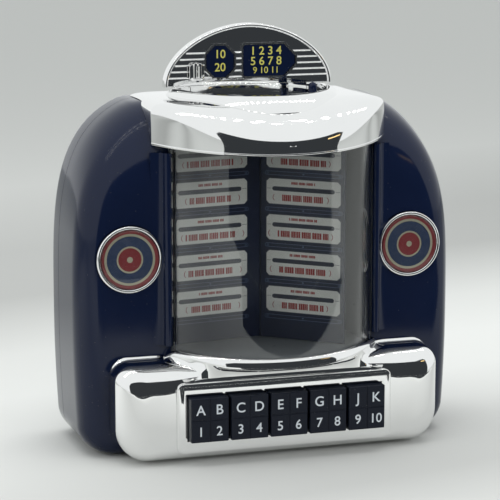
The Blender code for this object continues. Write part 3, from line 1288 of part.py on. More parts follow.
def speaker(steel, paper, dark):
    y = REAR_Y - HOUSING_WALL - GAP
    centre = (0, y, SPEAKER_Z)
    sheet = SPEAKER_SHEET
    inner = SPEAKER_CONE_RADIUS + 2 * GAP
    frame = [(SPEAKER_RADIUS, 0), (SPEAKER_RADIUS, -SPEAKER_FLANGE), (inner + sheet, -SPEAKER_FLANGE),
             (inner + sheet, -3 * sheet), (SPEAKER_NECK + sheet, -SPEAKER_DEPTH),
             (SPEAKER_NECK / 2, -SPEAKER_DEPTH), (SPEAKER_NECK / 2, sheet - SPEAKER_DEPTH),
             (SPEAKER_NECK, sheet - SPEAKER_DEPTH), (inner, -3 * sheet), (inner, 0)]
    turned_ring_object("speaker_frame", centre, frame, "Y", DISC_STEPS, steel)
    depth = SPEAKER_DEPTH - 2 * sheet - GAP
    cone = [(SPEAKER_NECK - sheet, -depth), (SPEAKER_CONE_RADIUS - GAP, -2 * sheet),
            (SPEAKER_CONE_RADIUS - GAP, -sheet), (SPEAKER_NECK - sheet, sheet - depth),
            (SPEAKER_NECK - 2 * sheet, 2 * sheet - depth), (SPEAKER_NECK / 2, 3 * sheet - depth)]
    turned_object("speaker_cone", centre, cone, "Y", DISC_STEPS, paper)
    top = -SPEAKER_DEPTH - GAP
    turned_object("speaker_magnet", centre, [(MAGNET_RADIUS, top), (MAGNET_RADIUS, top - MAGNET_DEPTH)],
                  "Y", DISC_STEPS, dark)


def sound_board(green):
    back = REAR_Y - HOUSING_WALL - SOUND_BOARD_STANDOFF - GAP
    half = SOUND_BOARD_WIDTH / 2
    board = box_object("sound_board", -half, half, back - BOARD, back, SOUND_BOARD_LOW_Z,
                       SOUND_BOARD_HIGH_Z, green)
    bm = bmesh.new()
    add_box(bm, SLIDE_X + (SLIDE_TRAVEL - SLIDE_BODY_WIDTH) / 2, SLIDE_X + (SLIDE_TRAVEL + SLIDE_BODY_WIDTH) / 2,
            back - MERGE, back + SLIDE_BODY_DEPTH, SLIDE_Z - SLIDE_BODY_HEIGHT / 2, SLIDE_Z + SLIDE_BODY_HEIGHT / 2)
    add_box(bm, -half + CHIP_SIZE, -half + 2 * CHIP_SIZE, back - MERGE, back + CHIP_HEIGHT,
            SLIDE_Z - CHIP_SIZE / 2, SLIDE_Z + CHIP_SIZE / 2)
    return join(board, place("board_parts", bm))


def power_switch(black):
    back = REAR_Y - HOUSING_WALL - SOUND_BOARD_STANDOFF - GAP + SLIDE_BODY_DEPTH + GAP
    half_w, half_h = SLIDE_KNOB_WIDTH / 2, SLIDE_KNOB_HEIGHT / 2
    face = REAR_Y - 2 * GAP
    outline = cut_box_outline(SLIDE_X - half_w, SLIDE_X + half_w, SLIDE_Z - half_h, SLIDE_Z + half_h,
                              (KEY_EDGE,) * 4)
    knob = extruded_object("power_switch", outline, back, face, "Y", black)
    bm = bmesh.new()
    groove = KEY_GROOVE / 2
    add_box(bm, SLIDE_X - groove, SLIDE_X + groove, face - KEY_GROOVE_DEPTH, face + OVERRUN,
            SLIDE_Z - half_h - OVERRUN, SLIDE_Z + half_h + OVERRUN)
    cut(knob, place("switch_groove", bm))
    return hang_on_axis(knob, (SLIDE_X, REAR_Y, SLIDE_Z))


# Batteries and their door

def battery_tray(black):
    half, low, high, front, back = tray_outer()
    tray = box_object("battery_tray", -half, half, front, back, low, high, black)
    wall = TRAY_WALL
    bm = bmesh.new()
    add_box(bm, -half + wall, half - wall, front + wall, back + OVERRUN, low + wall, high - wall)
    return cut(tray, place("battery_room", bm))


def cell_centres():
    """Heights of the three cells and their common Y."""
    _, low, _, front, _ = tray_outer()
    step = 2 * CELL_RADIUS + CELL_GAP
    first = low + TRAY_WALL + CELL_GAP + CELL_RADIUS
    return [first + i * step for i in range(CELL_COUNT)], front + TRAY_WALL + GAP + CELL_RADIUS


def batteries(wrap, steel):
    heights, y = cell_centres()
    half = CELL_LENGTH / 2
    for number, z in enumerate(heights, start=1):
        way = 1 if number % 2 else -1
        profile = [(CELL_RADIUS, -half), (CELL_RADIUS, half), (CELL_NUB_RADIUS, half),
                   (CELL_NUB_RADIUS, half + CELL_NUB)]
        profile = [(radius, way * along) for radius, along in profile]
        turned_object(f"battery_{number}", (0, y, z), profile, "X", DISC_STEPS, wrap)
    outer_half, low, high, front, back = tray_outer()
    for side, word in ((-1, "left"), (1, "right")):
        x1 = side * (outer_half - TRAY_WALL - GAP)
        x0 = x1 - side * CONTACT
        bm = bmesh.new()
        lows, highs = min(x0, x1), max(x0, x1)
        reach_y = CELL_RADIUS - CONTACT_ROOM / 2
        add_box(bm, lows, highs, y - reach_y, y + reach_y, low + TRAY_WALL + GAP,
                high - TRAY_WALL - GAP)
        plate = place(f"battery_contact_{word}", bm, steel)
        bm = bmesh.new()
        reach = outer_half - TRAY_WALL - GAP - CONTACT - half - CELL_NUB - GAP
        for z in heights:
            add_turned(bm, (x0, y, z), [(CELL_NUB_RADIUS, side * CONTACT / 2),
                                        (CELL_NUB_RADIUS / 2, -side * reach)], "X", DISC_STEPS // 2)
        join(plate, place(f"contact_dimples_{word}", bm))


def battery_door(navy):
    half, low, high = door_box()
    hinge_y, hinge_z = hinge_axis()
    outline = cut_box_outline(-half, half, hinge_z, high, (KEY_EDGE,) * 4)
    door = extruded_object("battery_door", outline, REAR_Y - DOOR_THICKNESS, REAR_Y, "Y", navy)
    bm = bmesh.new()
    barrel = half - HINGE_EAR - GAP
    for side in (-1, 1):
        x0, x1 = sorted((side * (half - HINGE_EAR - GAP), side * (half + OVERRUN)))
        add_box(bm, x0, x1, REAR_Y - DOOR_THICKNESS - OVERRUN, REAR_Y + OVERRUN, low - OVERRUN,
                low + 2 * HINGE_RADIUS + 2 * GAP)
    cut(door, place("door_ear_notches", bm))
    join(door, turned_object("door_barrel", (0, hinge_y, hinge_z),
                             [(HINGE_RADIUS, -barrel), (HINGE_RADIUS, barrel)], "X", DISC_STEPS))
    cut(door, turned_object("door_bore", (0, hinge_y, hinge_z),
                            [(HINGE_BORE_RADIUS, -half), (HINGE_BORE_RADIUS, half)], "X", DISC_STEPS // 2))
    grip = DOOR_GRIP_WIDTH / 2
    cut(door, box_object("door_grip", -grip, grip, REAR_Y - DOOR_GRIP, REAR_Y + OVERRUN,
                         high - 2 * DOOR_GRIP, high + OVERRUN))
    return hang_on_axis(door, (0, hinge_y, hinge_z))


def door_pin(steel):
    half = door_box()[0]
    hinge_y, hinge_z = hinge_axis()
    return turned_object("door_pin", (0, hinge_y, hinge_z),
                         [(HINGE_PIN_RADIUS, GAP - half), (HINGE_PIN_RADIUS, half - GAP)],
                         "X", DISC_STEPS // 2, steel)


def build():
    clear_scene()
    navy = material("navy_gloss", (0.012, 0.022, 0.075), 0.12)
    chrome = material("chrome_plate", (0.86, 0.87, 0.88), 0.06, 1.0)
    black = material("key_black", (0.020, 0.026, 0.050), 0.35)
    clear = material("clear_plastic", (0.95, 0.97, 1.0), 0.03, 0.0, 1.0)
    card = material("title_card", (0.035, 0.055, 0.16), 0.45)
    badge_print = material("badge_print", (0.80, 0.78, 0.70), 0.40)
    grey = material("display_grey", (0.20, 0.22, 0.26), 0.45)
    rubber = material("foot_rubber", (0.03, 0.03, 0.03), 0.8)
    steel = material("bright_steel", (0.62, 0.62, 0.60), 0.3, 1.0)
    green = material("board_green", (0.02, 0.16, 0.07), 0.4)
    paper = material("cone_paper", (0.05, 0.05, 0.05), 0.9)
    dark = material("magnet_dark", (0.09, 0.09, 0.10), 0.5, 0.6)
    wrap = material("battery_wrap", (0.30, 0.27, 0.10), 0.35)
    front_shell(navy)
    rear_shell(navy)
    feet(rubber)
    housing_screws(steel)
    window(clear)
    display_box(grey)
    title_pages(card)
    badges(chrome, badge_print, clear)
    top_cap(chrome)
    crest(chrome)
    price_plates(navy)
    coin_entry(chrome)
    top_button(navy)
    button_spring(steel)
    button_switch(black)
    base_bezel(chrome)
    keys_and_springs(black, steel)
    switch_board(green)
    speaker(steel, paper, dark)
    sound_board(green)
    power_switch(black)
    battery_tray(black)
    batteries(wrap, steel)
    battery_door(navy)
    door_pin(steel)


build()
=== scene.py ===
# %% [markdown]
# # A tabletop jukebox, dressed over its frame
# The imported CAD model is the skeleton: it says where each piece is and which body it moves with.
# Everything here is made at the same place and size, only finer: smooth plated mouldings, a clear
# bowed pane, printed title pages, lettered keys. Lengths are in metres, X is right, the front
# faces -Y and Z is up.

# %% Load the frame
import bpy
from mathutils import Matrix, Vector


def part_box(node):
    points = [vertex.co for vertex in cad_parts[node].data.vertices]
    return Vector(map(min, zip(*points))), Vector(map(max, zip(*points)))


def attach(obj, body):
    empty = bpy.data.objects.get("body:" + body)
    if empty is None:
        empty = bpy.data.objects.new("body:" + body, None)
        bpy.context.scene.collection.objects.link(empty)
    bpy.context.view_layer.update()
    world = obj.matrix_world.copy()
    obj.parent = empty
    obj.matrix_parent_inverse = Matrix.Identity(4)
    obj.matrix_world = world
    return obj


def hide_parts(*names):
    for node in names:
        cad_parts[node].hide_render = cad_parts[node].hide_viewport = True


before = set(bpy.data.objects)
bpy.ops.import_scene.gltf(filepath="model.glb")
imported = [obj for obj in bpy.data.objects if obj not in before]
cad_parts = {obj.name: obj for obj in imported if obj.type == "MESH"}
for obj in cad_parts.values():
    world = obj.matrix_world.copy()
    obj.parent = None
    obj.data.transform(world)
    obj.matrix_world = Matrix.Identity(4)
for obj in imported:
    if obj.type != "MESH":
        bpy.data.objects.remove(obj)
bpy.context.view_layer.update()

from math import asin, cos, hypot, pi, radians, sin, sqrt

import bmesh
import bpy
from mathutils import Matrix, Vector

mm = 0.001

# %% [markdown]
# ## Tools for making meshes
# A moulding is drawn here as a stack of closed rings, skinned and capped. It could also be a
# subdivided cage, but rings give the same curve at every size, which matters on plating: a mirror
# shows every flat.

# %% Rings, lathes, prisms
def finish_mesh(bm, name, angle=32):
    """Turn a bmesh into an object that is smooth except across edges sharper than angle."""
    bmesh.ops.recalc_face_normals(bm, faces=bm.faces)
    mesh = bpy.data.meshes.new(name)
    bm.to_mesh(mesh)
    bm.free()
    mesh.shade_smooth()
    mesh.set_sharp_from_angle(angle=radians(angle))
    thing = bpy.data.objects.new(name, mesh)
    bpy.context.scene.collection.objects.link(thing)
    return thing


def add_rings(bm, rings, closed=False):
    """Skin closed rings of equal count; cap the two ends, or join the last ring to the first."""
    rows = [[bm.verts.new(point) for point in ring] for ring in rings]
    count = len(rows[0])
    pairs = list(zip(rows, rows[1:])) + ([(rows[-1], rows[0])] if closed else [])
    for low, high in pairs:
        for i in range(count):
            j = (i + 1) % count
            bm.faces.new((low[i], low[j], high[j], high[i]))
    if not closed:
        bm.faces.new(rows[0])
        bm.faces.new(rows[-1])
    return bm


def loft(name, rings, angle=32, closed=False):
    return finish_mesh(add_rings(bmesh.new(), rings, closed), name, angle)


def turned_rings(profile, centre, axis, steps):
    """Rings of (radius, distance along the axis) pairs turned round a line through centre."""
    rings = []
    for radius, along in profile:
        ring = []
        for i in range(steps):
            a, b = radius * cos(2 * pi * i / steps), radius * sin(2 * pi * i / steps)
            offset = {"X": (along, a, b), "Y": (a, along, b), "Z": (a, b, along)}[axis]
            ring.append(Vector(centre) + Vector(offset))
        rings.append(ring)
    return rings


def lathe(name, profile, centre, axis="Y", steps=96, closed=False, angle=32):
    return loft(name, turned_rings(profile, centre, axis, steps), angle, closed)


def prism_rings(outline, low, high, along="Y"):
    if along == "Z":
        return [[(a, b, level) for a, b in outline] for level in (low, high)]
    return [[(a, level, b) for a, b in outline] for level in (low, high)]


def add_prism(bm, outline, low, high, along="Y"):
    return add_rings(bm, prism_rings(outline, low, high, along))


def box_outline(x0, x1, z0, z1):
    return [(x0, z0), (x1, z0), (x1, z1), (x0, z1)]


def arc(a, b, radius, start, end, steps):
    turns = [start + (end - start) * i / steps for i in range(steps + 1)]
    return [(a + radius * cos(t), b + radius * sin(t)) for t in turns]


def rounded_outline(x0, x1, z0, z1, radii, steps=8):
    """Anticlockwise outline with its own radius at each corner, from low left."""
    r = radii if isinstance(radii, tuple) else (radii,) * 4
    return (arc(x0 + r[0], z0 + r[0], r[0], pi, 1.5 * pi, steps)
            + arc(x1 - r[1], z0 + r[1], r[1], 1.5 * pi, 2 * pi, steps)
            + arc(x1 - r[2], z1 - r[2], r[2], 0, 0.5 * pi, steps)
            + arc(x0 + r[3], z1 - r[3], r[3], 0.5 * pi, pi, steps))


def offset_outline(points, inset):
    """Move each side of a closed anticlockwise outline inwards by inset."""
    moved = []
    for i, here in enumerate(points):
        before, here, after = Vector(points[i - 1]), Vector(here), Vector(points[(i + 1) % len(points)])
        first, second = (here - before).normalized(), (after - here).normalized()
        inward = Vector((-first.y - second.y, first.x + second.x)).normalized()
        moved.append(tuple(here + inward * (inset / inward.dot(Vector((-first.y, first.x))))))
    return moved


def blend(a, b, share):
    return a + (b - a) * share


def quarter(radius, steps):
    """(inset, depth left) pairs of a quarter-round edge, leaving out its start."""
    turns = [0.5 * pi * i / steps for i in range(1, steps + 1)]
    return [(radius * (1 - cos(turn)), radius * (1 - sin(turn))) for turn in turns]


def smooth_step(low, high, value):
    share = min(1, max(0, (value - low) / (high - low)))
    return share * share * (3 - 2 * share)


print("rings of a lathe:", len(turned_rings([(1, 0), (1, 1)], (0, 0, 0), "Z", 8)))

# %% [markdown]
# ## Cutting and rounding
# Openings are cut with the exact Boolean, and the result is kept as plain mesh, so no cutter stays
# in the scene. A moulding has no knife edges: a narrow bevel catches the light along each edge, and
# the weighted normals keep the broad faces flat beside it.

# %% Boolean and bevel helpers
def settle(thing, angle=32):
    """Replace an object's mesh by what its modifiers make of it."""
    made = bpy.data.meshes.new_from_object(thing.evaluated_get(bpy.context.evaluated_depsgraph_get()))
    thing.modifiers.clear()
    old = thing.data
    thing.data = made
    made.name = thing.name
    bpy.data.meshes.remove(old)
    made.shade_smooth()
    made.set_sharp_from_angle(angle=radians(angle))
    return thing


def combine(thing, tools, operation, angle=32):
    for tool in tools:
        step = thing.modifiers.new("cut", "BOOLEAN")
        step.operation, step.solver, step.object = operation, "EXACT", tool
        bpy.context.view_layer.update()
        settle(thing, angle)
        bpy.data.objects.remove(tool, do_unlink=True)
    return thing


def cut(thing, *tools):
    return combine(thing, tools, "DIFFERENCE")


def join(thing, *tools):
    return combine(thing, tools, "UNION")


def round_edges(thing, width, segments=2, angle=32):
    step = thing.modifiers.new("edge", "BEVEL")
    step.width, step.segments = width, segments
    step.limit_method, step.angle_limit = "ANGLE", radians(angle)
    step.harden_normals = False
    level = thing.modifiers.new("even", "WEIGHTED_NORMAL")
    level.keep_sharp = True
    level.weight = 60
    return thing


def dress(thing, body, finish, slot_name, *nodes):
    """Give a piece its finish, and say what it rides on and what it replaces; slot_name, its record slot, is not used.
    """
    thing.data.materials.clear()
    thing.data.materials.append(finish)
    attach(thing, body)
    if nodes:
        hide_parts(*nodes)
    return thing


# %% [markdown]
# ## Shared surface effects
# Three effects come back in most finishes, so each is a node group with its own values in each
# material: the faint waviness of a moulded skin, the fine grain of card, rubber or board, and the
# dust and smudges of a handled thing. Each gives only a mask or a height. The shader itself stays
# in the material.

# %% Node groups
def new_group(name, inputs, outputs):
    group = bpy.data.node_groups.new(name, "ShaderNodeTree")
    for label, value in inputs.items():
        socket = group.interface.new_socket(label, in_out="INPUT", socket_type="NodeSocketFloat")
        socket.default_value = value
    for label in outputs:
        group.interface.new_socket(label, in_out="OUTPUT", socket_type="NodeSocketFloat")
    return group, group.nodes.new("NodeGroupInput"), group.nodes.new("NodeGroupOutput")


def put(tree, kind, links=None, **values):
    """Add a node, set its values by socket name or by property, and link its inputs."""
    node = tree.nodes.new(kind)
    for key, value in values.items():
        if key in node.inputs.keys():
            node.inputs[key].default_value = value
        else:
            setattr(node, key, value)
    for key, source in (links or {}).items():
        tree.links.new(source, node.inputs[key])
    return node


def maths(tree, operation, first, second, clamp=False):
    node = tree.nodes.new("ShaderNodeMath")
    node.operation, node.use_clamp = operation, clamp
    for socket, value in zip(node.inputs, (first, second)):
        if isinstance(value, (int, float)):
            socket.default_value = value
        else:
            tree.links.new(value, socket)
    return node.outputs[0]


def grain_group():
    group, inside, outside = new_group("fine_grain", {"Scale": 400.0, "Detail": 3.0, "Roughness": 0.55},
                                       ["Mask", "Height"])
    place = put(group, "ShaderNodeTexCoord").outputs["Object"]
    noise = put(group, "ShaderNodeTexNoise", {"Vector": place, "Scale": inside.outputs["Scale"],
                                              "Detail": inside.outputs["Detail"],
                                              "Roughness": inside.outputs["Roughness"]})
    group.links.new(noise.outputs["Fac"], outside.inputs["Mask"])
    group.links.new(maths(group, "SUBTRACT", noise.outputs["Fac"], 0.5), outside.inputs["Height"])
    return group


def handling_group():
    group, inside, outside = new_group("dust_and_smudges", {"Scale": 30.0, "Cover": 0.4, "Speck Scale": 900.0},
                                       ["Smudge", "Specks"])
    place = put(group, "ShaderNodeTexCoord").outputs["Object"]
    broad = put(group, "ShaderNodeTexNoise", {"Vector": place, "Scale": inside.outputs["Scale"]}, Detail=5.0,
                Roughness=0.6)
    smudge = put(group, "ShaderNodeMapRange", {"Value": broad.outputs["Fac"], "From Min": inside.outputs["Cover"]},
                 interpolation_type="SMOOTHSTEP")
    smudge.inputs["From Max"].default_value = 0.9
    speck = put(group, "ShaderNodeTexVoronoi", {"Vector": place, "Scale": inside.outputs["Speck Scale"]})
    dots = put(group, "ShaderNodeMapRange", {"Value": speck.outputs["Distance"]}, interpolation_type="SMOOTHSTEP")
    for label, value in (("From Min", 0.05), ("From Max", 0.14), ("To Min", 1.0), ("To Max", 0.0)):
        dots.inputs[label].default_value = value
    sparse = maths(group, "GREATER_THAN", put(group, "ShaderNodeSeparateColor",
                                              {"Color": speck.outputs["Color"]}).outputs["Red"], 0.93)
    group.links.new(smudge.outputs["Result"], outside.inputs["Smudge"])
    group.links.new(maths(group, "MULTIPLY", dots.outputs["Result"], sparse), outside.inputs["Specks"])
    return group


def rings_group():
    """Distance from an upright axis point in the XZ plane, for prints drawn round a centre."""
    group, inside, outside = new_group("distance_from_point", {"X": 0.0, "Z": 0.0}, ["Radius"])
    place = put(group, "ShaderNodeSeparateXYZ", {"Vector": put(group, "ShaderNodeTexCoord").outputs["Object"]})
    dx = maths(group, "SUBTRACT", place.outputs["X"], inside.outputs["X"])
    dz = maths(group, "SUBTRACT", place.outputs["Z"], inside.outputs["Z"])
    square = maths(group, "ADD", maths(group, "MULTIPLY", dx, dx), maths(group, "MULTIPLY", dz, dz))
    group.links.new(maths(group, "SQRT", square, 0.0), outside.inputs["Radius"])
    return group


GRAIN, HANDLING, ROUND = grain_group(), handling_group(), rings_group()
print("groups:", [g.name for g in (GRAIN, HANDLING, ROUND)])

# %% [markdown]
# ## Finishes
# One function writes every plain finish: a Principled shader whose colour, roughness and bump each
# vary a little from the groups. Gloss navy and chrome differ only in their numbers, as they do in
# the factory, where both are the same moulding before one is plated.

# %% Finish function
def group_node(tree, group, **values):
    node = tree.nodes.new("ShaderNodeGroup")
    node.node_tree = group
    for key, value in values.items():
        node.inputs[key.replace("_", " ")].default_value = value
    return node


def tint(tree, mask, colour_a, colour_b):
    node = put(tree, "ShaderNodeMix", data_type="RGBA")
    tree.links.new(mask, node.inputs[0])
    for socket, value in ((node.inputs[6], colour_a), (node.inputs[7], colour_b)):
        if isinstance(value, tuple):
            socket.default_value = (*value, 1)
        else:
            tree.links.new(value, socket)
    return node.outputs[2]


def base_finish(name, rough, metallic=0.0, coat=0.0, coat_rough=0.04, ior=1.5, specular=0.5):
    made = bpy.data.materials.new(name)
    made.use_nodes = True
    tree = made.node_tree
    shader = tree.nodes["Principled BSDF"]
    for label, value in (("Roughness", rough), ("Metallic", metallic), ("Coat Weight", coat),
                         ("Coat Roughness", coat_rough), ("IOR", ior), ("Specular IOR Level", specular)):
        shader.inputs[label].default_value = value
    return made, tree, shader


def finish(name, colour, other, rough, spread, grain_scale, bump, smudge=0.0, metallic=0.0, coat=0.0,
           cover=0.45, specular=0.5):
    """A finish whose colour drifts from colour to other, with grain in its roughness and bump."""
    made, tree, shader = base_finish(name, rough, metallic, coat, specular=specular)
    grain = group_node(tree, GRAIN, Scale=grain_scale)
    wear = group_node(tree, HANDLING, Cover=cover)
    drift = tint(tree, grain.outputs["Mask"], colour, other)
    tree.links.new(tint(tree, maths(tree, "MULTIPLY", wear.outputs["Specks"], 0.35), drift, (0.45, 0.44, 0.42)),
                   shader.inputs["Base Color"])
    level = maths(tree, "ADD", rough, maths(tree, "MULTIPLY", grain.outputs["Height"], spread))
    level = maths(tree, "ADD", level, maths(tree, "MULTIPLY", wear.outputs["Smudge"], smudge), clamp=True)
    tree.links.new(level, shader.inputs["Roughness"])
    relief = put(tree, "ShaderNodeBump", {"Height": grain.outputs["Height"]}, Strength=bump, Distance=0.0002)
    tree.links.new(relief.outputs["Normal"], shader.inputs["Normal"])
    return made


navy = finish("navy_gloss_moulding", (0.0035, 0.0075, 0.026), (0.005, 0.010, 0.033), 0.10, 0.04, 55, 0.06,
              smudge=0.10, specular=0.3)
chrome = finish("chrome_plating", (0.86, 0.865, 0.865), (0.90, 0.90, 0.895), 0.035, 0.03, 70, 0.05,
                smudge=0.10, metallic=1.0)
key_plastic = finish("key_plastic", (0.004, 0.006, 0.013), (0.007, 0.010, 0.019), 0.32, 0.10, 1500, 0.25,
                     smudge=0.08, specular=0.22)
card_navy = finish("page_navy_print", (0.006, 0.011, 0.034), (0.009, 0.015, 0.042), 0.35, 0.10, 900, 0.15)
card_cream = finish("title_strip_card", (0.74, 0.73, 0.69), (0.82, 0.81, 0.77), 0.55, 0.15, 700, 0.20)
ink_red = finish("red_ink", (0.30, 0.030, 0.028), (0.38, 0.055, 0.045), 0.5, 0.1, 900, 0.1)
ink_edge = finish("strip_edge_ink", (0.035, 0.040, 0.060), (0.055, 0.060, 0.080), 0.5, 0.1, 900, 0.1)
ink_pale = finish("pale_blue_ink", (0.10, 0.14, 0.25), (0.14, 0.18, 0.30), 0.45, 0.1, 900, 0.1)
ink_yellow = finish("yellow_ink", (0.50, 0.47, 0.09), (0.58, 0.54, 0.12), 0.45, 0.1, 900, 0.1)
legend_paint = finish("legend_paint", (0.52, 0.56, 0.60), (0.60, 0.64, 0.68), 0.45, 0.1, 1200, 0.15)
display_grey = finish("display_moulding", (0.15, 0.16, 0.17), (0.18, 0.19, 0.20), 0.30, 0.12, 250, 0.25, smudge=0.12)
rubber = finish("foot_rubber", (0.014, 0.014, 0.015), (0.024, 0.024, 0.025), 0.75, 0.15, 1800, 0.6)
steel = finish("bright_steel", (0.52, 0.52, 0.51), (0.62, 0.62, 0.60), 0.26, 0.12, 1100, 0.2, metallic=1.0)
board = finish("circuit_board", (0.012, 0.10, 0.040), (0.020, 0.14, 0.055), 0.38, 0.12, 1300, 0.3)
paper = finish("cone_paper", (0.020, 0.020, 0.021), (0.034, 0.033, 0.032), 0.88, 0.10, 900, 0.8)
ferrite = finish("magnet_ferrite", (0.045, 0.045, 0.050), (0.070, 0.070, 0.075), 0.5, 0.15, 800, 0.4, metallic=0.4)
cell_wrap = finish("cell_wrap", (0.045, 0.048, 0.050), (0.060, 0.063, 0.065), 0.3, 0.08, 500, 0.1, coat=0.4)
print("finishes:", len(bpy.data.materials))

# %% [markdown]
# ## Clear plastic
# The pane and the badge domes are clear mouldings. A real refracting shader bends the view as the
# curved pane does. For shadow rays it turns to plain transparency, since a path tracer would
# otherwise leave the pages behind it in the dark.

# %% Clear finish
def clear_finish(name, colour, rough):
    made, tree, shader = base_finish(name, rough, ior=1.46)
    shader.inputs["Base Color"].default_value = (*colour, 1)
    shader.inputs["Transmission Weight"].default_value = 1.0
    wear = group_node(tree, HANDLING, Scale=45.0, Cover=0.5)
    level = maths(tree, "ADD", rough, maths(tree, "MULTIPLY", wear.outputs["Smudge"], 0.05), clamp=True)
    tree.links.new(level, shader.inputs["Roughness"])
    open_air = put(tree, "ShaderNodeBsdfTransparent", Color=(*colour, 1))
    light = put(tree, "ShaderNodeLightPath")
    mix = put(tree, "ShaderNodeMixShader")
    tree.links.new(light.outputs["Is Shadow Ray"], mix.inputs[0])
    tree.links.new(shader.outputs[0], mix.inputs[1])
    tree.links.new(open_air.outputs[0], mix.inputs[2])
    tree.links.new(mix.outputs[0], tree.nodes["Material Output"].inputs["Surface"])
    return made


clear = clear_finish("clear_moulding", (0.93, 0.95, 0.95), 0.02)
print("clear finish:", clear.name)

# %% [markdown]
# ## The housing's curve
# The housing is a soft arch in front view, close to a superellipse: straight sides, full shoulders
# and a nearly level crown. Its front edge is rounded very deeply over the top and less at the
# sides. Walking round the outline at even angles spaces the points evenly on the curve.

# %% Housing outline and rings
PANEL_Y, REAR_Y, SPLIT_Y = -14 * mm, 43 * mm, 23 * mm
HALF, WAIST_Z, RISE, POWER = 83.4 * mm, 55 * mm, 97 * mm, 3.8
BASE_Z, CORNER, DRAW, DECK_Z = 1 * mm, 12.5 * mm, 2.1 * mm, 147.2 * mm
ROUND_TOP, ROUND_SIDE = (32.5 * mm, 32 * mm), (10.5 * mm, 12 * mm)
ROUND_BASE, REAR_ROUND, WALL, GAP = 6 * mm, 11 * mm, 2.4 * mm, 0.3 * mm


def arch_outline(wall=0.0, side_in=0.0, top_in=0.0, base_in=0.0, steps=44):
    corner = CORNER - wall
    corner_z = BASE_Z + wall + base_in + corner
    widest, rise = HALF - wall - side_in, RISE - wall - top_in

    def half_at(z):
        share = (WAIST_Z - z) / (WAIST_Z - BASE_Z)
        return widest - DRAW * share * share

    right = arc(half_at(corner_z) - corner, corner_z, corner, -0.5 * pi, 0, 10)
    right += [(half_at(z), z) for z in (blend(corner_z, WAIST_Z, i / 8) for i in range(1, 8))]
    for i in range(steps + 1):
        turn = 0.5 * pi * (i / steps) * 0.998
        radius = ((cos(turn) / widest) ** POWER + (sin(turn) / rise) ** POWER) ** (-1 / POWER)
        x, z = radius * cos(turn), WAIST_Z + radius * sin(turn)
        deck = DECK_Z - wall
        right.append((x, min(z, deck - 0.4 * mm * (1 - smooth_step(deck - 1.5 * mm, deck + 1.5 * mm, z)))))
    return right + [(-x, z) for x, z in reversed(right)]


def round_in(depth, rounding, wall):
    tall, deep = rounding[0] - wall, rounding[1] - wall
    share = min(1, max(0, 1 - depth / deep))
    return tall * (1 - sqrt(1 - share * share))


def front_rings(wall, steps):
    rings = []
    for i in range(steps + 1):
        depth = (ROUND_TOP[1] - wall) * (i / steps) ** 2
        outline = arch_outline(wall, round_in(depth, ROUND_SIDE, wall), round_in(depth, ROUND_TOP, wall),
                               round_in(depth, (ROUND_BASE, ROUND_BASE), wall))
        rings.append([(x, PANEL_Y + wall + depth, z) for x, z in outline])
    return rings


def rear_rings(wall, steps):
    rings = []
    radius = REAR_ROUND - wall
    for i in range(steps + 1):
        turn = 0.5 * pi * i / steps
        share = 1 - sin(turn)
        outline = arch_outline(wall, radius * share, radius * share, (ROUND_BASE - wall) * share)
        rings.append([(x, REAR_Y - wall - radius * (1 - cos(turn)), z) for x, z in outline])
    return rings


def straight_ring(wall, y):
    return [(x, y, z) for x, z in arch_outline(wall)]


print("points in the outline:", len(arch_outline()))

# %% [markdown]
# ## Front shell
# One deep moulding carries the window opening, a seat for each badge and, outside the pane, a
# slim upright frame. The opening and seats are cut from the finished curve, the way a side core
# forms them in the mould.

# %% Front shell
WINDOW_HALF, FLOOR_Z, WINDOW_TOP_Z = 44 * mm, 43.2 * mm, 131.6 * mm
BADGE_X, BADGE_Z, BADGE_R = 61.8 * mm, 84.5 * mm, 14.1 * mm
shell = loft("housing_front", front_rings(0, 22)
             + [straight_ring(0, SPLIT_Y), straight_ring(1.2 * mm, SPLIT_Y), straight_ring(1.2 * mm, SPLIT_Y - 2 * mm),
                straight_ring(WALL, SPLIT_Y - 2 * mm)] + front_rings(WALL, 10)[::-1])
cutter = bmesh.new()
add_prism(cutter, box_outline(-WINDOW_HALF - GAP, WINDOW_HALF + GAP, 40.9 * mm, WINDOW_TOP_Z),
          PANEL_Y - 4 * mm, PANEL_Y + WALL + 10 * mm)
for side in (-1, 1):
    add_rings(cutter, turned_rings([(BADGE_R + GAP, -4 * mm), (BADGE_R + GAP, 1 * mm)],
                                   (side * BADGE_X, PANEL_Y, BADGE_Z), "Y", 96))
add_rings(cutter, turned_rings([(1.45 * mm, -12 * mm), (1.45 * mm, 4 * mm)],
                               (22.2 * mm, PANEL_Y + 12 * mm, DECK_Z), "Z", 32))
cut(shell, finish_mesh(cutter, "cutter_front"))
dress(shell, "housing", navy, "navy_gloss", "front_shell")
print("front shell faces:", len(shell.data.polygons))

# %% Window frames
LIP_Z, LIP_RISE, BROW_LIP_Z = 44.4 * mm, 2.6 * mm, 128.5 * mm


def jamb_outline(side):
    inner, nose, reach, flare = WINDOW_HALF + GAP, 1.6 * mm, 4.2 * mm, 5 * mm
    tip = PANEL_Y - reach
    points = [(inner, PANEL_Y + 1.5 * mm), (inner, tip + nose)]
    points += [(inner + nose + nose * cos(t), tip + nose - nose * sin(t))
               for t in (pi * (1 - i / 12) for i in range(1, 12))]
    for i in range(15):
        turn = 0.5 * pi * i / 14
        points.append((inner + 2 * nose + flare * (1 - cos(turn)), PANEL_Y - (reach - nose) * (1 - sin(turn))))
    points.append((inner + 2 * nose + flare, PANEL_Y + 1.5 * mm))
    return [(side * x, y) for x, y in points]


for side, word in ((-1, "left"), (1, "right")):
    bm = add_prism(bmesh.new(), jamb_outline(side), LIP_Z + LIP_RISE + 0.6 * mm, BROW_LIP_Z, "Z")
    dress(finish_mesh(bm, f"window_frame_{word}"), "housing", navy, "navy_gloss")
print("frames run from", LIP_Z + LIP_RISE, "to", BROW_LIP_Z)

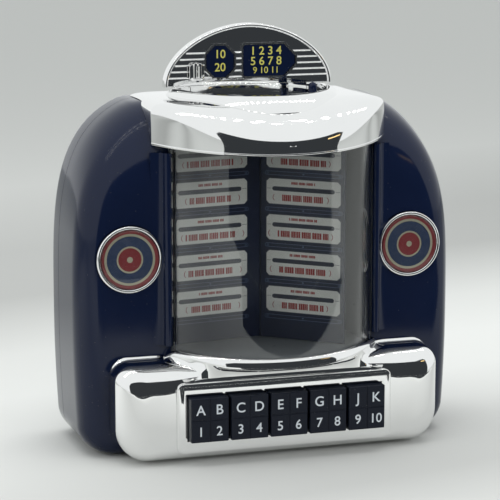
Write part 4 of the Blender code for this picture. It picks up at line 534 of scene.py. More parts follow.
# %% [markdown]
# ## Rear shell
# Nothing of the back shows in the photograph, so it has what such a battery sound toy has: a slotted
# speaker grille, four screw wells, a hinged battery door and a slide switch in a shallow dish.

# %% Rear shell
SPEAKER_Z, GRILLE_R, SLOT_R = 102 * mm, 20 * mm, 1.1 * mm
SCREWS = [(side * 64 * mm, z) for side in (-1, 1) for z in (16 * mm, 100 * mm)]
DOOR_HALF, DOOR_LOW, DOOR_HIGH = 24.2 * mm, 10.8 * mm, 44.3 * mm
rear = loft("housing_rear", rear_rings(0, 12)
            + [straight_ring(0, SPLIT_Y + GAP), straight_ring(1.5 * mm, SPLIT_Y + GAP),
               straight_ring(1.5 * mm, SPLIT_Y - 1.7 * mm), straight_ring(WALL, SPLIT_Y - 1.7 * mm)]
            + rear_rings(WALL, 6)[::-1])
cutter = bmesh.new()
for row in range(-3, 4):
    level = row * 5 * mm
    half = sqrt(GRILLE_R ** 2 - level ** 2) - SLOT_R
    slot_outline = (arc(-half, SPEAKER_Z + level, SLOT_R, 0.5 * pi, 1.5 * pi, 8)
                    + arc(half, SPEAKER_Z + level, SLOT_R, -0.5 * pi, 0.5 * pi, 8))
    add_prism(cutter, slot_outline, REAR_Y - WALL - 1 * mm, REAR_Y + 4 * mm)
for x, z in SCREWS:
    add_rings(cutter, turned_rings([(2.9 * mm, -6 * mm), (2.9 * mm, 4 * mm)], (x, REAR_Y, z), "Y", 40))
dish = rounded_outline(11.4 * mm, 22.6 * mm, 56.9 * mm, 63.1 * mm, 0.8 * mm)
add_prism(cutter, dish, REAR_Y - 1.2 * mm, REAR_Y + 4 * mm)
add_prism(cutter, box_outline(-DOOR_HALF - 0.4 * mm, DOOR_HALF + 0.4 * mm, DOOR_LOW - 0.4 * mm, DOOR_HIGH + 0.4 * mm),
          REAR_Y - WALL - 4 * mm, REAR_Y + 4 * mm)
cut(rear, finish_mesh(cutter, "cutter_rear"))
print("rear shell faces:", len(rear.data.polygons))
dress(rear, "housing", navy, "navy_gloss", "rear_shell")

# %% [markdown]
# ## The plated cap
# The cap is one chrome-plated moulding: a brow that bows out over the window, a level crown that
# saddles over the shell, and an oval tier with a shallow tray. It is lofted from cross-sections
# along its depth; the nearer the lip, the lower and rounder the section.

# %% Cap sections
BROW_REACH, BROW_HALF, BROW_ROOT, BROW_BACK = 28 * mm, 51.2 * mm, 3 * mm, 6 * mm
BROW_LIP_RISE, BAND, CAP_TOP_Z, CAP_WALL = 2.8 * mm, 2.0 * mm, 148.8 * mm, 2 * mm
CROWN_POWER, NOSE_POWER, BROW_POWER = 12.0, 2.3, 2.05
sagitta = BROW_REACH + BROW_ROOT
BROW_R = (BROW_HALF ** 2 + sagitta ** 2) / (2 * sagitta)


def cap_section(depth, half, edge_z, spring_z, top_z, power, steps=96):
    y = PANEL_Y + depth
    points = [(half, y, edge_z)]
    for i in range(steps + 1):
        turn = pi * i / steps
        c, s = cos(turn), sin(turn)
        radius = (abs(c) ** power + abs(s) ** power) ** (-1 / power)
        points.append((half * radius * c, y, spring_z + (top_z - spring_z) * radius * s))
    points.append((-half, y, edge_z))
    return points


def brow_top_z(reach):
    share = max(0, (BROW_BACK + reach) / (BROW_BACK + BROW_REACH))
    low = BROW_LIP_Z + BAND
    return low + (CAP_TOP_Z - low) * max(0, 1 - share ** BROW_POWER) ** (1 / BROW_POWER)


def cap_front(half, hollow=False):
    centre = BROW_R - BROW_REACH
    lip_z = BROW_LIP_Z + BROW_LIP_RISE * (half / BROW_HALF) ** 2
    reach = sqrt(BROW_R ** 2 - half ** 2) - centre
    power = blend(CROWN_POWER, NOSE_POWER, smooth_step(0, BROW_REACH, reach))
    if not hollow:
        return cap_section(-reach, half, lip_z, lip_z + BAND, max(brow_top_z(reach), lip_z + 2 * BAND), power)
    scale = (BROW_R - 1.2 * mm) / BROW_R
    inner = (reach + centre) * scale - centre
    top_z = min(brow_top_z(inner) - CAP_WALL, 146.4 * mm)
    return cap_section(-inner, half * scale, BROW_LIP_Z - 4 * mm, min(lip_z - 0.6 * mm, top_z - BAND), top_z, power)


def cap_rear(depth, shrink=0.0, hollow=False):
    lip_z = BROW_LIP_Z + BROW_LIP_RISE
    if hollow:
        return cap_section(depth, BROW_HALF - CAP_WALL, BROW_LIP_Z - 4 * mm, lip_z - 0.6 * mm, 146.4 * mm,
                           CROWN_POWER)
    return cap_section(depth, BROW_HALF - shrink / 2, lip_z, lip_z + BAND, CAP_TOP_Z - shrink, CROWN_POWER)


halves = [BROW_HALF * sin(0.5 * pi * (0.02 + 0.98 * i / 40)) for i in range(41)]
crown = [cap_front(half) for half in halves] + [cap_rear(depth) for depth in (4.5 * mm, BROW_BACK)]
crown += [cap_rear(46 * mm - left, inset) for inset, left in [(0, 2 * mm)] + quarter(2 * mm, 6)]
print("cap sections:", len(crown), "widest half:", BROW_HALF)

# %% Cap: union, hollow, tray
TIER_HALF, TIER_FRONT, TIER_BACK = 38.5 * mm, 48 * mm, 13 * mm
TIER_FOOT_Z, TIER_TOP_Z, CREST_Y = 141.8 * mm, 151.2 * mm, PANEL_Y + 31 * mm


def tier_ring(in_x, in_y, z, steps=128):
    ring = []
    for i in range(steps):
        turn = 2 * pi * i / steps
        reach = TIER_FRONT - in_y if sin(turn) < 0 else TIER_BACK - min(in_y, TIER_BACK / 2)
        ring.append(((TIER_HALF - in_x) * cos(turn), CREST_Y + reach * sin(turn), z))
    return ring


def tray_ring(inset, level, steps=96):
    half, front = 32 * mm - inset, 36 * mm - inset
    return [(half * cos(pi * i / steps), CREST_Y - front * sin(pi * i / steps), TIER_TOP_Z + level)
            for i in range(steps + 1)]


def tier_profile(steps=14):
    rings = [tier_ring(0, 0, TIER_FOOT_Z)]
    for i in range(1, steps + 1):
        turn = 0.5 * pi * i / steps
        rings.append(tier_ring(4.5 * mm * (1 - cos(turn)), 10 * mm * (1 - cos(turn)),
                               blend(TIER_FOOT_Z, TIER_TOP_Z, sin(turn))))
    return rings


def cap_cutters(sink):
    """Fresh cutters: the room inside, the housing's seat, the tray, and the button's and crest's holes."""
    hollow = [cap_front(half, True) for half in halves] + [cap_rear(d, 0, True) for d in (BROW_BACK, 44 * mm)]
    tray = [tray_ring(0, 4 * mm), tray_ring(0, -1.4 * mm)]
    tray += [tray_ring(inset, left - 2.8 * mm - sink) for inset, left in quarter(1.4 * mm, 6)]
    holes = add_rings(bmesh.new(), turned_rings([(2.25 * mm, -6 * mm), (2.25 * mm, 4 * mm)],
                                                (22.2 * mm, PANEL_Y + 12 * mm, 148.4 * mm), "Z", 40))
    add_prism(holes, box_outline(-26.3 * mm, 26.3 * mm, DECK_Z, 155 * mm), CREST_Y - GAP, CREST_Y + 5.3 * mm)
    seat = front_rings(-GAP, 22) + [straight_ring(-GAP, REAR_Y + 4 * mm)]
    return [loft("cutter_room", hollow), loft("cutter_seat", seat), loft("cutter_tray", tray),
            finish_mesh(holes, "cutter_holes")]


def bead_ring(turn, radius=0.75 * mm, steps=16):
    """A small roll along the lip of the brow."""
    reach, middle = BROW_R - radius + 0.1 * mm, PANEL_Y - BROW_REACH + BROW_R
    level = BROW_LIP_Z + BROW_LIP_RISE * (BROW_R * sin(turn) / BROW_HALF) ** 2 + radius - 0.1 * mm
    section = [(reach + radius * cos(a), level + radius * sin(a)) for a in (2 * pi * i / steps for i in range(steps))]
    return [(out * sin(turn), middle - out * cos(turn), z) for out, z in section]


brow_turn = asin(BROW_HALF / BROW_R)
bead = loft("brow_lip_bead", [bead_ring(brow_turn * (i / 60 - 1)) for i in range(121)])
dress(bead, "housing", chrome, "chrome_plate")
for name, rings, sink, nodes in (("plated_crown", crown, 0.6 * mm, ["top_cap"]),
                                 ("plated_tier", tier_profile(), 0, [])):
    part = cut(loft(name, rings), *cap_cutters(sink))
    dress(part, "housing", chrome, "chrome_plate", *nodes)
    print(name, "faces:", len(part.data.polygons))

# %% [markdown]
# ## The crest
# An upright plated plate stands behind the tray: half a soft ellipse with a plain rim, a recessed
# field with ribs across its lower part, and two framed windows for price plates.

# %% Crest
CREST_HALF, CREST_WAIST, CREST_TOP, CREST_POWER = 37.5 * mm, 152.5 * mm, 178 * mm, 1.85
CREST_DEEP, CREST_EDGE, CREST_RIM, CREST_FIELD = 5 * mm, 0.9 * mm, 1.7 * mm, 0.9 * mm
PLATE_Z, PLATE_H, COIN_X = 162 * mm, 13.4 * mm, -23.6 * mm


def crest_outline(inset, base_z, steps=96):
    half, waist = CREST_HALF - inset, max(base_z, CREST_WAIST)
    rise = CREST_TOP - inset - waist
    outline = []
    for i in range(steps + 1):
        turn = pi * i / steps
        radius = (abs(cos(turn)) ** CREST_POWER + abs(sin(turn)) ** CREST_POWER) ** (-1 / CREST_POWER)
        outline.append((half * radius * cos(turn), waist + rise * radius * sin(turn)))
    foot = base_z + 0.3 * inset
    return outline + [(-half, foot), (half, foot)]


def cut_corners(x0, x1, z0, z1, cuts):
    a, b, c, d = cuts
    return [(x0, z0 + a), (x0 + a, z0), (x1 - b, z0), (x1, z0 + b),
            (x1, z1 - c), (x1 - c, z1), (x0 + d, z1), (x0, z1 - d)]


def plate_outline(which, grow=0.0):
    x, width, cuts = ((-13.0 * mm, 12.2 * mm, (3.8 * mm,) * 4) if which == "left" else
                      (9.0 * mm, 23.2 * mm, (0.8 * mm, 5 * mm, 5 * mm, 0.8 * mm)))
    outline = cut_corners(x - width / 2, x + width / 2, PLATE_Z - PLATE_H / 2, PLATE_Z + PLATE_H / 2, cuts)
    return offset_outline(outline, -grow) if grow else outline


base_z = TIER_TOP_Z + GAP
rings = [(CREST_RIM, CREST_FIELD), (CREST_RIM - 0.02 * mm, CREST_FIELD - 0.05 * mm)]
for i in range(1, 12):
    turn = pi * i / 12
    rings.append((CREST_RIM / 2 * (1 + cos(turn)), CREST_FIELD * (1 - sin(turn))))
rings += [(0, CREST_EDGE), (0, CREST_DEEP - CREST_EDGE), (CREST_EDGE * 0.3, CREST_DEEP - CREST_EDGE * 0.3),
          (CREST_EDGE, CREST_DEEP)]
crest = loft("plated_crest", [[(x, CREST_Y + back, z) for x, z in crest_outline(inset, base_z)]
                              for inset, back in rings])
bm = bmesh.new()
for row in range(5):
    z = 155.3 * mm + row * 2.6 * mm
    share = (z + 1.1 * mm - CREST_WAIST) / (CREST_TOP - CREST_WAIST - CREST_RIM)
    half = (CREST_HALF - CREST_RIM) * (1 - share ** CREST_POWER) ** (1 / CREST_POWER) + 0.5 * mm
    crown_y = CREST_Y + CREST_FIELD
    profile = [(crown_y + 0.5 * mm, z - 0.4 * mm)]
    profile += [(crown_y - 0.8 * mm * sin(pi * k / 8), z - 0.4 * mm * cos(pi * k / 8)) for k in range(9)]
    profile.append((crown_y + 0.5 * mm, z + 0.4 * mm))
    add_rings(bm, [[(x, y, level) for y, level in profile] for x in (-half, half)])
join(crest, finish_mesh(bm, "cutter_ribs"))
bm = bmesh.new()
for which in ("left", "right"):
    add_prism(bm, plate_outline(which, 1 * mm), CREST_Y - 0.5 * mm, CREST_Y + 1.3 * mm)
join(crest, finish_mesh(bm, "cutter_frames"))
add_tab = add_prism(bmesh.new(), box_outline(-26 * mm, 26 * mm, 148.2 * mm, 152 * mm), CREST_Y, CREST_Y + CREST_DEEP)
join(crest, finish_mesh(add_tab, "cutter_tab"))
bm = bmesh.new()
for which in ("left", "right"):
    add_prism(bm, plate_outline(which, GAP), CREST_Y - 4 * mm, CREST_Y + 1.3 * mm)
coin_slit = box_outline(COIN_X - 0.6 * mm, COIN_X + 0.6 * mm, 155.3 * mm, 160.3 * mm)
add_prism(bm, coin_slit, CREST_Y - 4 * mm, CREST_Y + 9 * mm)
cut(crest, finish_mesh(bm, "cutter_pockets"))
dress(round_edges(crest, 0.25 * mm), "housing", chrome, "chrome_plate", "crest")
print("crest faces:", len(crest.data.polygons))

# %% [markdown]
# ## Lettering
# The legends on the keys and the figures on the price plates are plain letters and numbers. Blender's
# own typeface is set as a text curve, given a hair of thickness and turned into mesh.

# %% Lettering helper
def lettering(name, lines, depth=0.06 * mm):
    """Join texts into one mesh: (words, size, x, z, bold) each, standing on the plane y = 0."""
    bm = bmesh.new()
    for words, size, x, z, bold in lines:
        curve = bpy.data.curves.new("cutter_text", "FONT")
        curve.body, curve.size, curve.extrude, curve.offset = words, size, depth / 2, bold
        curve.align_x, curve.align_y = "CENTER", "CENTER"
        text = bpy.data.objects.new("cutter_text", curve)
        bpy.context.scene.collection.objects.link(text)
        bpy.context.view_layer.update()
        mesh = bpy.data.meshes.new_from_object(text.evaluated_get(bpy.context.evaluated_depsgraph_get()))
        mesh.transform(Matrix.Translation((x, -depth / 2, z)) @ Matrix.Rotation(0.5 * pi, 4, "X"))
        bm.from_mesh(mesh)
        bpy.data.meshes.remove(mesh)
        bpy.data.objects.remove(text, do_unlink=True)
        bpy.data.curves.remove(curve)
    return finish_mesh(bm, name, 20)


for which, rows in (("left", [("10", 5.0, -13.0, 165.0, 0.05), ("20", 5.0, -13.0, 159.4, 0.05)]),
                    ("right", [("1 2 3 4", 5.0, 7.6, 166.0, 0.05), ("5 6 7 8", 5.0, 7.6, 161.6, 0.05),
                               ("9 10 11", 3.9, 7.6, 157.7, 0)])):
    bm = add_prism(bmesh.new(), plate_outline(which), CREST_Y, CREST_Y + 1 * mm)
    plate = finish_mesh(bm, f"price_plate_{which}")
    dress(round_edges(plate, 0.12 * mm), "housing", navy, "navy_gloss", f"{which}_price_plate")
    figures = lettering(f"price_figures_{which}", [(w, s * mm, x * mm, z * mm, b * mm) for w, s, x, z, b in rows])
    figures.data.transform(Matrix.Translation((0, CREST_Y - 0.005 * mm, 0)))
    dress(figures, "housing", ink_yellow, "navy_gloss")
print("price plates at y =", CREST_Y)

# %% [markdown]
# ## Coin entry and tray button
# The coin entry is a small plated bracket round an upright slit. The button is a domed navy peg.

# %% Coin entry and button
back = CREST_Y - 0.3 * mm
coin = loft("coin_bracket", [[(COIN_X + x, y, 157.8 * mm + z) for x, z in cut_corners(-w, w, -h, h, (1 * mm,) * 4)]
                             for w, h, y in ((3.3 * mm, 3.5 * mm, back), (3.3 * mm, 3.5 * mm, back - 0.8 * mm),
                                             (2.3 * mm, 3 * mm, back - 1.2 * mm))])
bm = bmesh.new()
for x0, x1 in ((-1.6 * mm, -0.3 * mm), (0.3 * mm, 1.6 * mm)):
    add_prism(bm, box_outline(COIN_X + x0, COIN_X + x1, 155.3 * mm, 161.8 * mm), back - 2.4 * mm, back - 0.5 * mm)
join(coin, finish_mesh(bm, "cutter_lips"))
bm = add_prism(bmesh.new(), coin_slit, back - 6 * mm, back + 4 * mm)
cut(coin, finish_mesh(bm, "cutter_slit"))
dress(round_edges(coin, 0.15 * mm), "housing", chrome, "chrome_plate", "coin_entry")

low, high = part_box("top_button")
tip, radius = high.z, 1.9 * mm
stem, flange = 1.1 * mm, 3 * mm
profile = [(stem, low.z), (stem, 136.7 * mm), (flange, 136.7 * mm), (flange, 137.7 * mm), (stem, 137.7 * mm),
           (stem, 148.95 * mm), (radius, 149.25 * mm)]
profile += [(radius * cos(0.5 * pi * i / 12), tip - radius * (1 - sin(0.5 * pi * i / 12))) for i in range(12)]
button = lathe("tray_button", profile, ((low.x + high.x) / 2, (low.y + high.y) / 2, 0), "Z", 48)
dress(button, "top_button", navy, "navy_gloss", "top_button")
print("button tip at", round(tip / mm, 1))

# %% [markdown]
# ## The key bezel
# The lower front is a second plated moulding: a rounded block, a raised field round the keys, and a
# lip that follows the bowed pane and runs out over the block's shoulders. The lip is swept along
# the bow with a cross-section that changes from an overhanging nose to a low skirt.

# %% Bezel
BOW_SAGITTA = 23.5 * mm
BOW_R = (WINDOW_HALF ** 2 + BOW_SAGITTA ** 2) / (2 * BOW_SAGITTA)
BOW_Y = PANEL_Y - 26.5 * mm + BOW_R
BOW_TURN = asin(WINDOW_HALF / BOW_R)
BEZEL_HALF, BEZEL_TOP, BEZEL_BASE, BEZEL_REACH = 71 * mm, 40 * mm, 1.8 * mm, 18 * mm
FACE_Y = PANEL_Y - BEZEL_REACH
FIELD_Y = FACE_Y - 1.3 * mm


SIDE_W, SIDE_D, TOP_T, TOP_D, SHOULDER_Z = 12 * mm, 9 * mm, 12 * mm, 11 * mm, 41.8 * mm


def block_ring(share, inset):
    """One ring of the block as (x, z, depth of its rounding): share 0 is the outline, 1 the flat face."""
    half, low = BEZEL_HALF - inset - SIDE_W * share, BEZEL_BASE + inset + 5.5 * mm * share
    wide, tight = 13 * mm - inset - 5.5 * mm * share, blend(7.5 * mm, 4 * mm, share) - inset
    top = SHOULDER_Z - inset - TOP_T * share
    left = arc(-half + wide, low + wide, wide, pi, 1.5 * pi, 14)
    right = arc(half - wide, low + wide, wide, 1.5 * pi, 2 * pi, 14)
    corner = arc(half - tight, top - tight, tight, 0, 0.5 * pi, 14)
    turn_in = [sin(0.5 * pi * i / 14) ** 2 for i in range(15)]
    ring = [(x, z, blend(SIDE_D, 5.5 * mm, k)) for (x, z), k in zip(left, turn_in)]
    ring += [(x, z, blend(5.5 * mm, SIDE_D, k)) for (x, z), k in zip(right, turn_in)]
    ring += [(x, z, blend(SIDE_D, TOP_D, k)) for (x, z), k in zip(corner, turn_in)]
    for i in range(1, 60):
        x = (half - tight) * (1 - i / 30)
        k = smooth_step(34 * mm, 52 * mm, abs(x))
        ring.append((x, blend(BEZEL_TOP - inset - 5.5 * mm * share, top, k), blend(5.5 * mm, TOP_D, k)))
    return ring + [(-x, z, d) for x, z, d in ring[30:45][::-1]]


def block_rings(inset, back_y, steps=16):
    """The block's rings; its rounding is deep and tall at the two shoulders, tight elsewhere."""
    rings = []
    for i in range(steps + 1):
        turn = 0.5 * pi * i / steps
        rings.append([(x, FACE_Y + inset + (deep - inset) * (1 - cos(turn)), z)
                      for x, z, deep in block_ring(1 - sin(turn), inset)])
    rim = [(PANEL_Y - 3.4 * mm, 0), (PANEL_Y - 1.9 * mm, 0.25 * mm), (PANEL_Y - 1.0 * mm, 0.8 * mm),
           (PANEL_Y - 0.7 * mm, 1.3 * mm), (PANEL_Y - 0.4 * mm, 1.5 * mm), (back_y, 1.5 * mm)]
    for y, rise in ([(back_y, 0)] if inset else rim):
        rings.append([(x, y, z + rise * smooth_step(34 * mm, 38 * mm, z)) for x, z, deep in block_ring(0, inset)])
    return rings


def block_top(x, y):
    """Height of the block's upper surface at a place."""
    k = smooth_step(34 * mm, 52 * mm, abs(x))
    deep, tall = blend(5.5 * mm, TOP_D, k), blend(5.5 * mm, TOP_T, k)
    share = min(1, max(0, 1 - (y - FACE_Y) / deep))
    return blend(BEZEL_TOP, SHOULDER_Z, k) - tall * (1 - sqrt(1 - share * share))


def lip_section(turn):
    """Section of the lip at a place on the bow: a tall nose in the middle, a low flare at the ends."""
    x = BOW_R * sin(turn)
    side = smooth_step(0.55 * WINDOW_HALF, 0.88 * WINDOW_HALF, abs(x))
    past = smooth_step(0, radians(9), abs(turn) - BOW_TURN + radians(2))
    top = blend(LIP_Z + 1.4 * mm * (x / WINDOW_HALF) ** 2, SHOULDER_Z + 0.8 * mm, past)
    nose, tall = 2.2 * mm, blend(4 * mm, 2 * mm, max(side, past))
    face_out = (BOW_Y - FACE_Y) / cos(turn) - BOW_R
    band = (GAP + nose, top - tall)
    out = min(face_out, 9 * mm)
    landing = block_top((BOW_R + out) * sin(turn), BOW_Y - (BOW_R + out) * cos(turn))
    end = (out, max(36.2 * mm, landing - 0.3 * mm))
    control = (blend(end[0], band[0], side), blend(band[1], end[1], side))
    profile = [(GAP, top - 0.2 * mm)]
    profile += [(GAP + nose * sin(a), top - tall * (1 - cos(a))) for a in (0.5 * pi * i / 12 for i in range(1, 13))]
    for i in range(1, 13):
        t = i / 12
        profile.append(tuple((1 - t) ** 2 * a + 2 * t * (1 - t) * b + t * t * c
                             for a, b, c in zip(band, control, end)))
    under = FLOOR_Z - 2.3 * mm
    sunk = (blend(end[0] - 2.8 * mm, end[0], side), end[1] - 1 * mm)
    profile += [sunk, (blend(sunk[0], GAP, side), blend(under, sunk[1], side)), (GAP, under)]
    return [((BOW_R + rho) * sin(turn), BOW_Y - (BOW_R + rho) * cos(turn), z) for rho, z in profile]


bezel = loft("plated_bezel", block_rings(0, PANEL_Y - GAP))
reach = BOW_TURN + radians(8)
lip = loft("plated_lip", [lip_section(reach * (2 * i / 140 - 1)) for i in range(141)], 40)
dress(lip, "housing", chrome, "chrome_plate")
field = rounded_outline(-47 * mm, 47 * mm, 4.8 * mm, 34.8 * mm, 3 * mm)
raised = [(0, FACE_Y + 0.8 * mm), (0, FIELD_Y + 0.6 * mm)]
raised += [(inset, FIELD_Y + left) for inset, left in quarter(0.6 * mm, 4)]
bm = add_prism(bmesh.new(), offset_outline(field, -0.35 * mm), FACE_Y - 1 * mm, FACE_Y + 0.3 * mm)
cut(bezel, finish_mesh(bm, "cutter_groove"))
join(bezel, loft("cutter_field", [[(x, y, z) for x, z in (offset_outline(field, inset) if inset else field)]
                                  for inset, y in raised]))
cut(bezel, loft("cutter_hollow", block_rings(2.2 * mm, PANEL_Y + 4 * mm, 6)))
KEY_X = [(i - 2) * 17.2 * mm for i in range(5)]
KEY_LOW, KEY_HIGH, KEY_HALF = 10.6 * mm, 29.3 * mm, 8.1 * mm
row = box_outline(-42.9 * mm, 42.9 * mm, KEY_LOW + 0.7 * mm, KEY_HIGH - 0.7 * mm)
bm = add_prism(bmesh.new(), row, FIELD_Y - 9 * mm, FACE_Y + 7 * mm)
cut(bezel, finish_mesh(bm, "cutter_row"))
bm = bmesh.new()
for x in KEY_X:
    well = box_outline(x - 8.5 * mm, x + 8.5 * mm, KEY_LOW - 0.4 * mm, KEY_HIGH + 0.4 * mm)
    add_prism(bm, well, FIELD_Y - 9.5 * mm, FACE_Y + 7.5 * mm)
cut(bezel, finish_mesh(bm, "cutter_keys"))
dress(bezel, "housing", chrome, "chrome_plate", "base_bezel")
print("bezel faces:", len(bezel.data.polygons))

# %% [markdown]
# ## Keys and legends
# Five moulded keys, each split by crossed grooves into four fields. A letter pair stands over a
# number pair, pad-printed in pale grey. Each legend rides with its own key.

# %% Keys
KEY_FACE = FIELD_Y - 4.9 * mm
LETTERS = ["AB", "CD", "EF", "GH", "JK"]
for number, x in enumerate(KEY_X, start=1):
    outline = cut_corners(x - KEY_HALF, x + KEY_HALF, KEY_LOW, KEY_HIGH, (0.35 * mm,) * 4)
    rings = [[(a, y, b) for a, b in (offset_outline(outline, inset) if inset else outline)]
             for inset, y in ((0.5 * mm, KEY_FACE), (0.35 * mm, KEY_FACE + 0.08 * mm), (0.1 * mm, KEY_FACE + 0.3 * mm),
                              (0, KEY_FACE + 0.6 * mm), (0, FACE_Y + 3 * mm))]
    key = loft(f"key_{number}_moulding", rings, 50)
    wall = 1.4 * mm
    bm = add_prism(bmesh.new(), box_outline(x - KEY_HALF + wall, x + KEY_HALF - wall, KEY_LOW + wall, KEY_HIGH - wall),
                   KEY_FACE + wall, FACE_Y + 9 * mm)
    cut(key, finish_mesh(bm, "cutter_hollow"))
    mid = (KEY_LOW + KEY_HIGH) / 2
    for a in (box_outline(x - 0.3 * mm, x + 0.3 * mm, KEY_LOW - 4 * mm, KEY_HIGH + 4 * mm),
              box_outline(x - 12 * mm, x + 12 * mm, mid - 0.3 * mm, mid + 0.3 * mm)):
        cut(key, finish_mesh(add_prism(bmesh.new(), a, KEY_FACE - 4 * mm, KEY_FACE + 0.3 * mm), "cutter_groove"))
    dress(round_edges(key, 0.12 * mm), f"key_{number}", key_plastic, "key_black", f"key_block_{number}")
    rows = [(LETTERS[number - 1][i], 5.9 * mm, x + (2 * i - 1) * 4 * mm, mid + 4.2 * mm, 0.05 * mm) for i in (0, 1)]
    rows += [(str(2 * number - 1 + i), 5.6 * mm, x + (2 * i - 1) * 4 * mm, mid - 4.9 * mm, 0.05 * mm) for i in (0, 1)]
    legend = lettering(f"key_{number}_legend", rows)
    legend.data.transform(Matrix.Translation((0, KEY_FACE - 0.01 * mm, 0)))
    dress(legend, f"key_{number}", legend_paint, "key_black")
print("keys:", len(KEY_X))

# %% [markdown]
# ## The bowed pane
# The window is one clear moulding bent to an arc, with short straight returns that slide into the
# housing. Its thickness is real, so its cut edges show bright, as they do on acrylic.

# %% Window
def bow_outline(offset, end_y, steps=96):
    radius = BOW_R + offset
    points = [(-WINDOW_HALF - offset, end_y)]
    for i in range(steps + 1):
        turn = BOW_TURN * (2 * i / steps - 1)
        points.append((radius * sin(turn), BOW_Y - radius * cos(turn)))
    points.append((WINDOW_HALF + offset, end_y))
    points[1] = (-WINDOW_HALF - offset, points[1][1])
    points[-2] = (WINDOW_HALF + offset, points[-2][1])
    return points


end_y = PANEL_Y - 3 * mm + 5.4 * mm
outline = bow_outline(0, end_y) + bow_outline(-1.6 * mm, end_y)[::-1]
pane = finish_mesh(add_prism(bmesh.new(), outline, FLOOR_Z + GAP, 131.2 * mm, "Z"), "bowed_pane")
dress(pane, "housing", clear, "clear_plastic", "window")
print("pane radius:", round(BOW_R / mm, 1))

# %% [markdown]
# ## Title pages
# Two printed pages stand behind the pane and meet at a fold. Each carries five title strips with cut
# corners: a small line, a dark pill and a large line in braces. The lines are drawn as bars, like
# print too small to read. Each ink is a thin layer of its own, so the page has real edges.

# %% Page geometry
FOLD_Y = PANEL_Y + 21.5 * mm
SWING = {-1: radians(9), 1: radians(42)}
STRIP_LOW = [54.8 * mm, 70.4 * mm, 86.0 * mm, 101.6 * mm, 117.2 * mm]
STRIP_H = 11.6 * mm
SPAN = {-1: (1.6 * mm, 37.2 * mm), 1: (2.4 * mm, 37.0 * mm)}


def on_page(side, u, w, height):
    """A point on a page: u along it from the fold, w up, height in front of its surface."""
    swing = SWING[side]
    along = Vector((side * cos(swing), -sin(swing), 0))
    outward = Vector((-sin(swing) * side, -cos(swing), 0))
    return Vector((side * 2.2 * mm, FOLD_Y, 0)) + along * u + outward * height + Vector((0, 0, w))


INK = 0.03 * mm


def add_layer(bm, side, outline, height, thick=INK):
    add_rings(bm, [[on_page(side, u, w, level) for u, w in outline] for level in (height, height + thick)])


def pill(u0, u1, w, radius, steps=6):
    return (arc(u0 + radius, w, radius, 0.5 * pi, 1.5 * pi, steps)
            + arc(u1 - radius, w, radius, -0.5 * pi, 0.5 * pi, steps))


def add_pill_line(bm, side, u0, u1, w, radius, line, height):
    """A pill drawn as a closed thin line: four walls of a ring."""
    outer, inner = pill(u0, u1, w, radius), pill(u0 + line, u1 - line, w, radius - line)
    rows = [[bm.verts.new(on_page(side, u, v, level)) for u, v in ring]
            for ring, level in ((outer, height), (outer, height + INK), (inner, height + INK), (inner, height))]
    for low, high in zip(rows, rows[1:] + rows[:1]):
        for i in range(len(low)):
            j = (i + 1) % len(low)
            bm.faces.new((low[i], low[j], high[j], high[i]))


def bars(row, count):
    """Widths and gaps of a greeked line: letters in words, always the same for the same row."""
    made, at = [], 0.0
    for k in range(count):
        width = (0.62, 0.78, 0.50, 0.70, 0.86)[(k * 3 + row * 2) % 5]
        made.append((at, at + width))
        at += width + (0.75 if (k + row) % 5 == 4 else 0.16)
    return made, at


print("strips per page:", len(STRIP_LOW))

